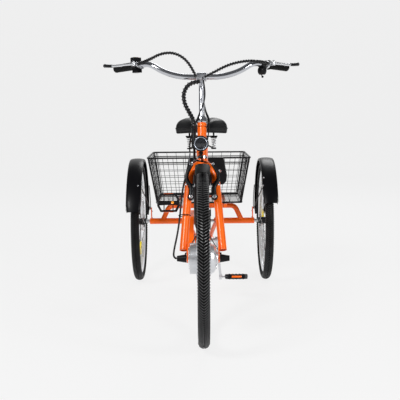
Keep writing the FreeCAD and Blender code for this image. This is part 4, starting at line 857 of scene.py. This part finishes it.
def make_frame_cables():
    run = Shape()
    route = cable([steer(-31, -4, 523.5), steer(-31, -4, 462), steer(-30, -12, 422), mm(-31, -262, 590),
                   mm(-31, -196, 492), mm(-31, -118, 420), mm(-33, -20, 372), mm(-26, 60, 340)])
    for radius, out, aside in ((2.9, 0, 2.6), (2.6, 2.4, -1.6), (2.3, -2.4, -1.6)):
        run.tube([point + normal * out * MM + across * aside * MM
                  for point, _, normal, across in frames(route)], radius, 10)
    run.tube([steer(-32, -4, up) for up in (522, 518, 470, 440, 434)], [8.4, 9.6, 9.2, 8.0, 5.5], 16)
    lines = run.piece("frame_cable_run", "frame", "cable_sheath")
    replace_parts(lines, "frame_cables")


def make_ties():
    """Cable ties round the head tube and its cables, and round the right fork leg."""
    ties, leg_tie = Shape(), Shape()
    for up in (518, 462):
        path = []
        for step in range(28):
            angle = TURN * step / 28
            wide = (27 if cos(angle) < 0 else 20) * 1.35
            path.append(steer(-6, -2, up) + X_AXIS * wide * cos(angle) * MM
                        + STEER_FORWARD * 19.5 * sin(angle) * MM)
        ties.tube(path, 1.9, 6, flat=0.5, lean=STEER_UP, closed=True)
    ties.piece("head_tube_cable_ties", "frame", "cable_sheath", PAINTS["black_plastic"])
    leg_tie.tube([steer(-68, 27, 165) + (X_AXIS * 22 * cos(angle) + STEER_FORWARD * 18 * sin(angle)) * MM
                  for angle in (TURN * step / 24 for step in range(24))], 1.7, 6, closed=True)
    leg_tie.piece("fork_leg_cable_tie", "steering", "cable_sheath", PAINTS["black_plastic"])


# ------------------------------------------------------------ handlebar fittings

BAR_MIDDLE = mm(0, -320, 987)
BAR_R = 11.1
PERCH = {LEFT: 130, RIGHT: 156}


def make_grip(side, name, node, body):
    """A ribbed rubber grip with an inner flange and a closed, rounded end."""
    along, _, _ = bar_axes(side)
    profile = [(11.3, 0.0), (18.5, 0.0), (19.0, 1.2), (18.5, 4.0), (15.2, 4.6)]
    for index in range(22):
        base = 7 + index * 4.7
        profile += [(14.6, base), (16.0, base + 0.9), (16.0, base + 3.0), (14.6, base + 3.9)]
    profile += [(15.8, 112), (16.4, 115), (16.2, 119), (14, 121.4), (8, 121.9), (0.05, 122)]
    shape = Shape()
    shape.turned(profile, at_bar(side, 118), along, 40)
    grip = shape.piece(name, body, "grip_rubber")
    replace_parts(grip, node)


def make_bar_and_stem():
    """The bent chrome bar with its centre sleeve, and the quill stem with its clamp."""
    half = [(78, -320, 987), (145, -316, 1006), (200, -297, 1040), (345, -140, 1030)]
    points = [mm(-x, y, z) for x, y, z in reversed(half)] + [mm(*point) for point in half]
    bar, stem = Shape(), Shape()
    bar.tube(rounded(points, {1: 70, 6: 70}), BAR_R, 40)
    bar.turned([(BAR_R, -20), (11.3, -19.6), (11.3, 19.6), (BAR_R, 20)], BAR_MIDDLE, X_AXIS, 40)
    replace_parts(bar.piece("bent_handlebar", "steering", "chrome"), "handlebar")
    bar_up = (BAR_MIDDLE - STEER_ORIGIN).dot(STEER_UP) / MM
    bend = [steer(0, 0, 475), steer(0, 0, bar_up), steer(0, 52, bar_up + 1)]
    stem.tube(rounded(bend, {1: 26}), BAR_R, 40)
    stem.turned([(11.3, -19), (15.8, -19), (17, -17.8), (17, 17.8), (15.8, 19), (11.3, 19)], BAR_MIDDLE,
                X_AXIS)
    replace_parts(stem.piece("quill_stem", "steering", "chrome", SATIN_CHROME), "stem")


def make_lever(side, word):
    """A cast lever: a forked root at the pin, a flattened blade and a black end sleeve."""
    above = bar_axes(side)[2]
    inboard, lift, body = PERCH[side], 3, word + "_lever"
    root, blade, sleeve = Shape(), Shape(), Shape()
    root.turned([(3.05, -5), (6.6, -5), (6.8, -4), (6.8, 4), (6.6, 5), (3.05, 5)],
                at_bar(side, inboard, 34, lift), above, 24)
    first = curved([at_bar(side, inboard + shift, ahead, lift)
                    for shift, ahead in ((1, 35), (-14, 38), (-34, 46), (-50, 50))])
    root.tube(first, [6 - 0.9 * index / len(first) for index in range(len(first))], flat=0.72, lean=above)
    lever = root.piece(body + "_root", body, "silver_alloy")
    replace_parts(lever, word + "_brake_lever")
    end = [at_bar(side, place, ahead, lift + rise) for place, ahead, rise in
           ((28, 56, 3), (4, 54, 6), (-9, 50.5, 8))]
    second = curved([at_bar(side, inboard - 48, 49.5, lift), at_bar(side, inboard - 70, 54, lift)] + end)
    blade.tube(second, [5.6 - 0.6 * sin(pi * index / len(second)) for index in range(len(second))],
               flat=0.95, lean=above)
    blade.piece(body + "_blade", body, "silver_alloy")
    cover = curved([at_bar(side, 46, 55.4, lift + 1.7)] + end)
    sleeve.tube(cover, [6.8 + 0.9 * index / len(cover) for index in range(len(cover))], 16, flat=0.9,
                lean=above)
    sleeve.ball(at_bar(side, -9.5, 50.5, lift + 8), 7.6)
    sleeve.piece(body + "_sleeve", body, "black_plastic", PAINTS["black_fender"])


def make_bar_fittings():
    """The perches' screws and bands, the throttle's display, the shifter's cap and the stem's bolts."""
    screws, bands = Shape(), Shape()
    for side in (LEFT, RIGHT):
        along, ahead, above = bar_axes(side)
        inboard = PERCH[side]
        screws.bolt(at_bar(side, inboard, 34, 13.2), above, 5.2, 2.6)
        screws.bolt(at_bar(side, inboard, -12, -9), -ahead, 3.4, 2.4)
        for step in (-7.5, 7.5):
            bands.turned([(15.0, -1), (15.9, -0.6), (15.9, 0.6), (15.0, 1)], at_bar(side, inboard + step),
                         along, 32)
        bands.tube([at_bar(side, inboard + 14, 22, 3), at_bar(side, inboard + 23, 22, 3)], 5.2, 10)
    screws.piece("lever_pivot_screws", "steering", "silver_alloy", ZINC)
    bands.piece("perch_clamp_bands", "steering", "silver_alloy", PAINTS["black_metal"])
    along, ahead, _ = bar_axes(RIGHT)
    display, lower, lights, pod, clamp = Shape(), Shape(), Shape(), Shape(), Shape()
    display.brick((22, 20, 1.2), at_bar(RIGHT, 131.5, 8, 31.5), along, ahead)
    display.piece("battery_gauge_window", "steering", "black_plastic", PAINTS["black_fender"])
    lower.brick((34, 28, 19), at_bar(RIGHT, 138, 3, -18.5), along, ahead)
    lower.piece("throttle_lower_case", "steering", "black_plastic", PAINTS["black_fender"])
    for index in range(4):
        lights.brick((2.6, 4, 0.8), at_bar(RIGHT, 124.5 + index * 4.7, 12, 32.2), along, ahead)
    lights.piece("gauge_segments", "steering", "black_plastic", YELLOW)
    pod.turned([(0.05, 3.5), (9, 3.2), (13.5, 1.5), (15.3, 0), (15.3, -2)], at_bar(LEFT, 158, 11, -26),
               bar_axes(LEFT)[1], 40)
    pod.piece("shifter_cap", "steering", "black_plastic")
    for x in (-11, 11):
        clamp.bolt(BAR_MIDDLE + mm(x, -13, -12), (0, -0.75, -0.66), 4, 4)
    clamp.bolt(steer(0, 0, 706), STEER_UP, 6.5, 4)
    clamp.piece("stem_bolts", "steering", "chrome", ZINC)


def make_headlight():
    """The lamp's hood, ring, bowl, bulb and bulged front glass, each turned about the lamp's axis."""
    low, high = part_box("headlight_housing")
    centre = Vector(((low.x + high.x) / 2, low.y, high.z - (high.x - low.x) / 2))
    ring = [(23.4 - 2.1 * cos(angle), -0.8 - 2.4 * sin(angle))
            for angle in (pi * step / 12 for step in range(13))]
    for name, slot, paint, segments, profile in (
            ("hood", "black_plastic", PAINTS["black_fender"], 64,
             [(25.4, -1.0), (26.4, -3.0), (27.6, -3.4), (28.8, -2.4), (29.2, 0), (29.0, 5), (26.4, 5),
              (25.4, 2)]),
            ("bezel", "black_plastic", LAMP_RING, 64, ring + [(25.5, 3), (21.3, 3)]),
            ("bowl", "black_plastic", PAINTS["black_fender"], 64,
             [(21.4, 2.5), (19.5, 7), (16, 13), (11, 18), (6, 20.5), (6, 22.5), (12, 20), (17.5, 14.5),
              (20.8, 8), (22.4, 3)]),
            ("bulb", "lamp_lens", MIRROR, 32,
             [(0.05, 9), (2.4, 9.6), (3.9, 11.6), (4.1, 14), (3.2, 17), (5.4, 18), (5.4, 21), (0.05, 21)]),
            ("front_glass", "lamp_lens", None, 64,
             [(0.05, -1.6), (8, -1.2), (15, 0), (21.3, 1.8), (21.3, 3.2), (15, 1.6), (8, 0.4), (0.05, 0)])):
        shape = Shape()
        shape.turned(profile, centre, (0, 1, 0), segments)
        part = shape.piece("lamp_" + name, "headlight", slot, paint)
    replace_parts(part, "headlight_lens")


def make_brake_arms():
    """Bowed brake arms with their pivot bolts, pad holders and pads, and the cable between them."""
    for side, word in SIDES:
        body = word + "_brake"
        arm = Shape()
        path = curved([steer(side * x, 44 if x == 46 else 43, up) for x, up in
                       ((44, 230), (41, 256), (44, 276), (61, 296), (58, 326), (46, 344), (40, 358))])
        arm.tube(path, [10 - 4 * index / len(path) for index in range(len(path))], 14, flat=0.62,
                 lean=STEER_FORWARD)
        arm.turned([(4.05, -7), (11.4, -7), (12.2, -5), (12.2, 5), (10.8, 6.5), (4.05, 6.5)],
                   steer(side * 44, 41, 232), STEER_FORWARD, 32)
        arm.ball(steer(side * 40, 43, 357), 6.6)
        arm.tube([steer(side * 55, 41, 281), steer(side * 24, 40, 279.5)], 4.2)
        item = arm.piece(word + "_brake_caliper", body, "black_metal")
        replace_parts(item, word + "_brake_arm")
        bolts = Shape()
        bolts.bolt(steer(side * 44, 48.4, 232), STEER_FORWARD, 7.6, 6.0)
        bolts.bolt(steer(side * 40, 48, 357), STEER_FORWARD, 5.6, 4)
        bolts.bolt(steer(side * 59.5, 41, 281), (side, 0, 0), 5.2, 4.5)
        bolts.turned([(4.2, 0), (6.8, 0.6), (6.8, 3), (4.2, 3.6)], steer(side * 28, 40, 279.5),
                     (side, 0, 0), 20)
        bolts.piece(word + "_brake_bolts", body, "spoke_steel", ZINC)
        pad = Shape()
        centre = steer(0, 40, 278.5) - FRONT_AXLE
        base_turn = atan2(centre.z, centre.y)
        rings = []
        for step in range(13):
            direction = wheel_spoke(base_turn + (step - 6) * 0.0155)
            slim = 0.7 if step in (0, 12) else (0.88 if step % 3 == 0 else 1.0)
            middle = FRONT_AXLE + direction * centre.length
            rings.append([middle + direction * high * slim * MM + mm(side * across, 0, 0)
                          for across, high in ((15.1, -4.2), (15.1, 4.2), (19, 4.6), (22.4, 3), (22.4, -3),
                                               (19, -4.6))])
        pad.loft(rings)
        pad.piece(word + "_brake_pad", body, "grip_rubber", BRAKE_RUBBER)
    noodle = Shape()
    noodle.tube(curved([mm(-46, -419, 700), mm(-49, -424, 676), mm(-47, -432, 655), steer(-40, 47, 366),
                        steer(-26, 48, 372)]), 2.6, 10)
    noodle.tube([steer(-30, 47.6, 371), steer(-22, 48.2, 372)], 3.4, 10)
    noodle.piece("brake_noodle", "right_brake", "chrome")
    start, end = steer(-22, 48.2, 372), steer(34, 47, 362)
    path = [start.lerp(end, step / 16) for step in range(17)]
    sizes = [1.0 if step > 11 else 3.4 if step % 2 else 2.5 for step in range(17)]
    boot, cable_end = Shape(), Shape()
    boot.tube(path[:9], sizes[:9], 10)
    cable_end.tube(path[8:], sizes[8:], 10)
    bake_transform(boot.piece("brake_cable_boot", None, "cable_sheath"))
    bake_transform(cable_end.piece("brake_cable_end", None, "cable_sheath"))


# ------------------------------------------------------------ drive

def chain_loop():
    """The chain's centre line as points one pitch apart, with their directions."""
    big, small = (CHAIN_PITCH / (2 * sin(pi / teeth)) for teeth in (44, 18))
    sprocket = joint_line("sprocket_spin")[0]
    x = sprocket.x
    first, last = Vector((CRANK.y, CRANK.z)), Vector((sprocket.y, sprocket.z))
    span = last - first
    tilt = asin((big - small) / span.length)
    base = atan2(span.y, span.x)
    top, bottom = base + pi / 2 - tilt, base - pi / 2 + tilt
    path = []
    for start, sweep, count, middle, radius in ((top, TURN - (top - bottom), 60, first, big),
                                                (bottom, top - bottom, 40, last, small)):
        for step in range(count):
            angle = start + sweep * step / (count - 1)
            path.append(Vector((x, middle.x + radius * cos(angle), middle.y + radius * sin(angle))))
    path.append(path[0].copy())
    length = sum((b - a).length for a, b in zip(path, path[1:]))
    count = int(round(length / CHAIN_PITCH))
    count += count % 2
    return even(path, length / count * 0.99999)[:count]


def make_chain():
    points = chain_loop()
    shape = Shape()
    count = len(points)
    for index, point in enumerate(points):
        after = points[(index + 1) % count]
        along = after - point
        half = along.length / MM / 2
        along.normalize()
        plate = [(centre + 3.9 * cos(first + pi * step / 6), 3.9 * sin(first + pi * step / 6))
                 for centre, first in ((half, -pi / 2), (-half, pi / 2)) for step in range(7)]
        for side in (-1, 1):
            spot = (point + after) / 2 + mm(side * (2.1 if index % 2 else 3.1), 0, 0)
            shape.prism(plate, 0.9, spot, along, X_AXIS.cross(along))
        shape.tube([point - mm(3.9, 0, 0), point + mm(3.9, 0, 0)], 1.8, 8)
    chain = shape.piece("chain_links", "frame", "spoke_steel", CHAIN_STEEL)
    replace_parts(chain, "chain")


def make_pedal(side, word, tilt):
    """A resin platform: six-sided rim, ribs, bearing barrel, studs and reflectors."""
    centre, _ = joint_line(word + "_pedal_spin")
    body = word + "_pedal_body"
    turn = Matrix.Rotation(tilt, 3, "X")
    ahead, up = turn @ Vector((0, -1, 0)), turn @ Vector((0, 0, 1))

    def on_pedal(across, forward, above=0):
        return centre + (X_AXIS * across + ahead * forward + up * above) * MM

    shape = Shape()
    outline = [(-50, 14), (-36, 40), (36, 40), (50, 14), (50, -14), (36, -40), (-36, -40), (-50, -14)]
    thick, half = 10, 11
    rings = []
    for a, b in outline:
        shrink = 1 - thick / hypot(a, b)
        slope = 1 - 0.35 * (1 - shrink)
        rings.append([on_pedal(a * share, b * share, height)
                      for share, height in ((1, 2 - half), (1, half - 2), (slope, half), (shrink, half),
                                            (shrink, -half), (slope, -half))])
    shape.loft(rings, closed=True)
    shape.turned([(4.6, -46), (8, -46), (11, -44), (9.5, -20), (9.5, 20), (11, 44), (8, 46), (4.6, 46)],
                 centre, X_AXIS, 28)
    for x in (-20, 20):
        shape.brick((4, 70, 12), on_pedal(x, 0), X_AXIS, ahead, 0.1)
    for x in (-30, -15, 0, 15, 30):
        for b in (-37.5, 37.5):
            for face in (-1, 1):
                shape.tube([on_pedal(x, b, face * (half - 1)), on_pedal(x, b, face * (half + 1.6))],
                           [2, 1.4], 8)
    pedal = shape.piece(word + "_platform", body, "black_plastic")
    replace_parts(pedal, word + "_pedal")
    lenses, patch = Shape(), Shape()
    for b in (-40.8, 40.8):
        lenses.brick((44, 8, 2.4), on_pedal(0, b), X_AXIS, up)
    lenses.piece(word + "_pedal_reflectors", body, "black_plastic", DEEP_AMBER)
    patch.brick((12, 11, 3), on_pedal(18 if side == RIGHT else -18, 0, 10.5), X_AXIS, ahead)
    patch.piece(word + "_pedal_patch", body, "black_plastic", AMBER)


def make_fasteners():
    """Bolts of the cranks, the tabs and the carrier, and the battery's ribs and lock."""
    bolts, tabs, trim, lock = Shape(), Shape(), Shape(), Shape()
    for side in (LEFT, RIGHT):
        bolts.bolt((side * (70 if side == LEFT else 80) * MM, CRANK.y, CRANK.z), (side, 0, 0), 8, 5)
        for lift in (17, 50):
            spot = Vector((side * 254.4 * MM, REAR_AXLE[side].y, REAR_AXLE[side].z + lift * MM))
            tabs.bolt(spot, (-side, 0, 0), 4.5, 3)
        for y in (330, 660):
            tabs.bolt(mm(side * 110, y, 425), (0, 0, 1), 7, 2.5)
    bolts.piece("crank_bolts", "crank", "silver_alloy", ZINC)
    tabs.piece("carrier_bolts", "frame", "spoke_steel", ZINC)
    low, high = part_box("battery_case")
    for share in (0.32, 0.68):
        y, z = low.y - 0.2 * MM, low.z + (high.z - low.z) * share
        trim.tube([(low.x + 22 * MM, y, z), (high.x - 22 * MM, y, z)], 1.3, 8)
    trim.piece("battery_case_ribs", "frame", "black_plastic")
    lock.turned([(0.05, 2.2), (2.4, 2.2), (2.6, 1.2), (7, 1.8), (8, 0.8), (8, -2)],
                (high.x - 34 * MM, low.y, (low.z + high.z) / 2), (0, -1, 0), 32)
    lock.piece("battery_lock", "frame", "chrome")


def make_welds():
    """Rounded weld beads where the frame's tubes meet."""
    beads = Shape()

    def bead(centre, axis, size=1.6):
        axis = Vector(axis).normalized()
        first = axis.orthogonal().normalized()
        second = axis.cross(first)
        path = []
        for angle in (TURN * step / 60 for step in range(60)):
            radius = (10.2 + 0.25 * sin(angle * 20)) * MM
            path.append(Vector(centre) + (first * cos(angle) + second * sin(angle)) * radius)
        beads.tube(path, size, 6, closed=True)

    y, z = REAR_AXLE[LEFT].y, REAR_AXLE[LEFT].z
    for side in (LEFT, RIGHT):
        bead((side * 76 * MM, y, z + 15 * MM), (0, 0, 1))
        bead((side * 76 * MM, y, 364 * MM), (0, 0, 1))
    bead(mm(40, 112, 284), (0.1, 1, 0), 1.2)
    beads.piece("weld_beads", "frame", "orange_paint")


make_camera()
make_stage()
make_world()
make_light("key", (-2.4, -3.4, 3.4), (0, 0, 0.5), 135, 1.3)
make_light("fill", (2.8, -3.0, 2.0), (0, 0, 0.5), 75, 1.1)
make_light("rim", (0.8, 3.6, 3.4), (0, 0.2, 0.5), 50, 2.0)
paint_cad_nodes()
make_wheels()
make_front_guard()
make_rear_guard(LEFT, "left", 67)
make_rear_guard(RIGHT, "right", 74)
make_basket()
make_saddle()
make_bar_looms()
make_fork_cables()
make_trunk()
make_frame_cables()
make_ties()
make_grip(LEFT, "left_hand_grip", "left_grip", "steering")
make_grip(RIGHT, "right_twist_grip", "throttle_grip", "throttle")
for lever_side, lever_word in SIDES:
    make_lever(lever_side, lever_word)
make_bar_and_stem()
make_bar_fittings()
make_headlight()
make_brake_arms()
make_chain()
make_pedal(LEFT, "left", radians(-12))
make_pedal(RIGHT, "right", radians(76))
make_fasteners()
make_welds()

bpy.context.view_layer.update()
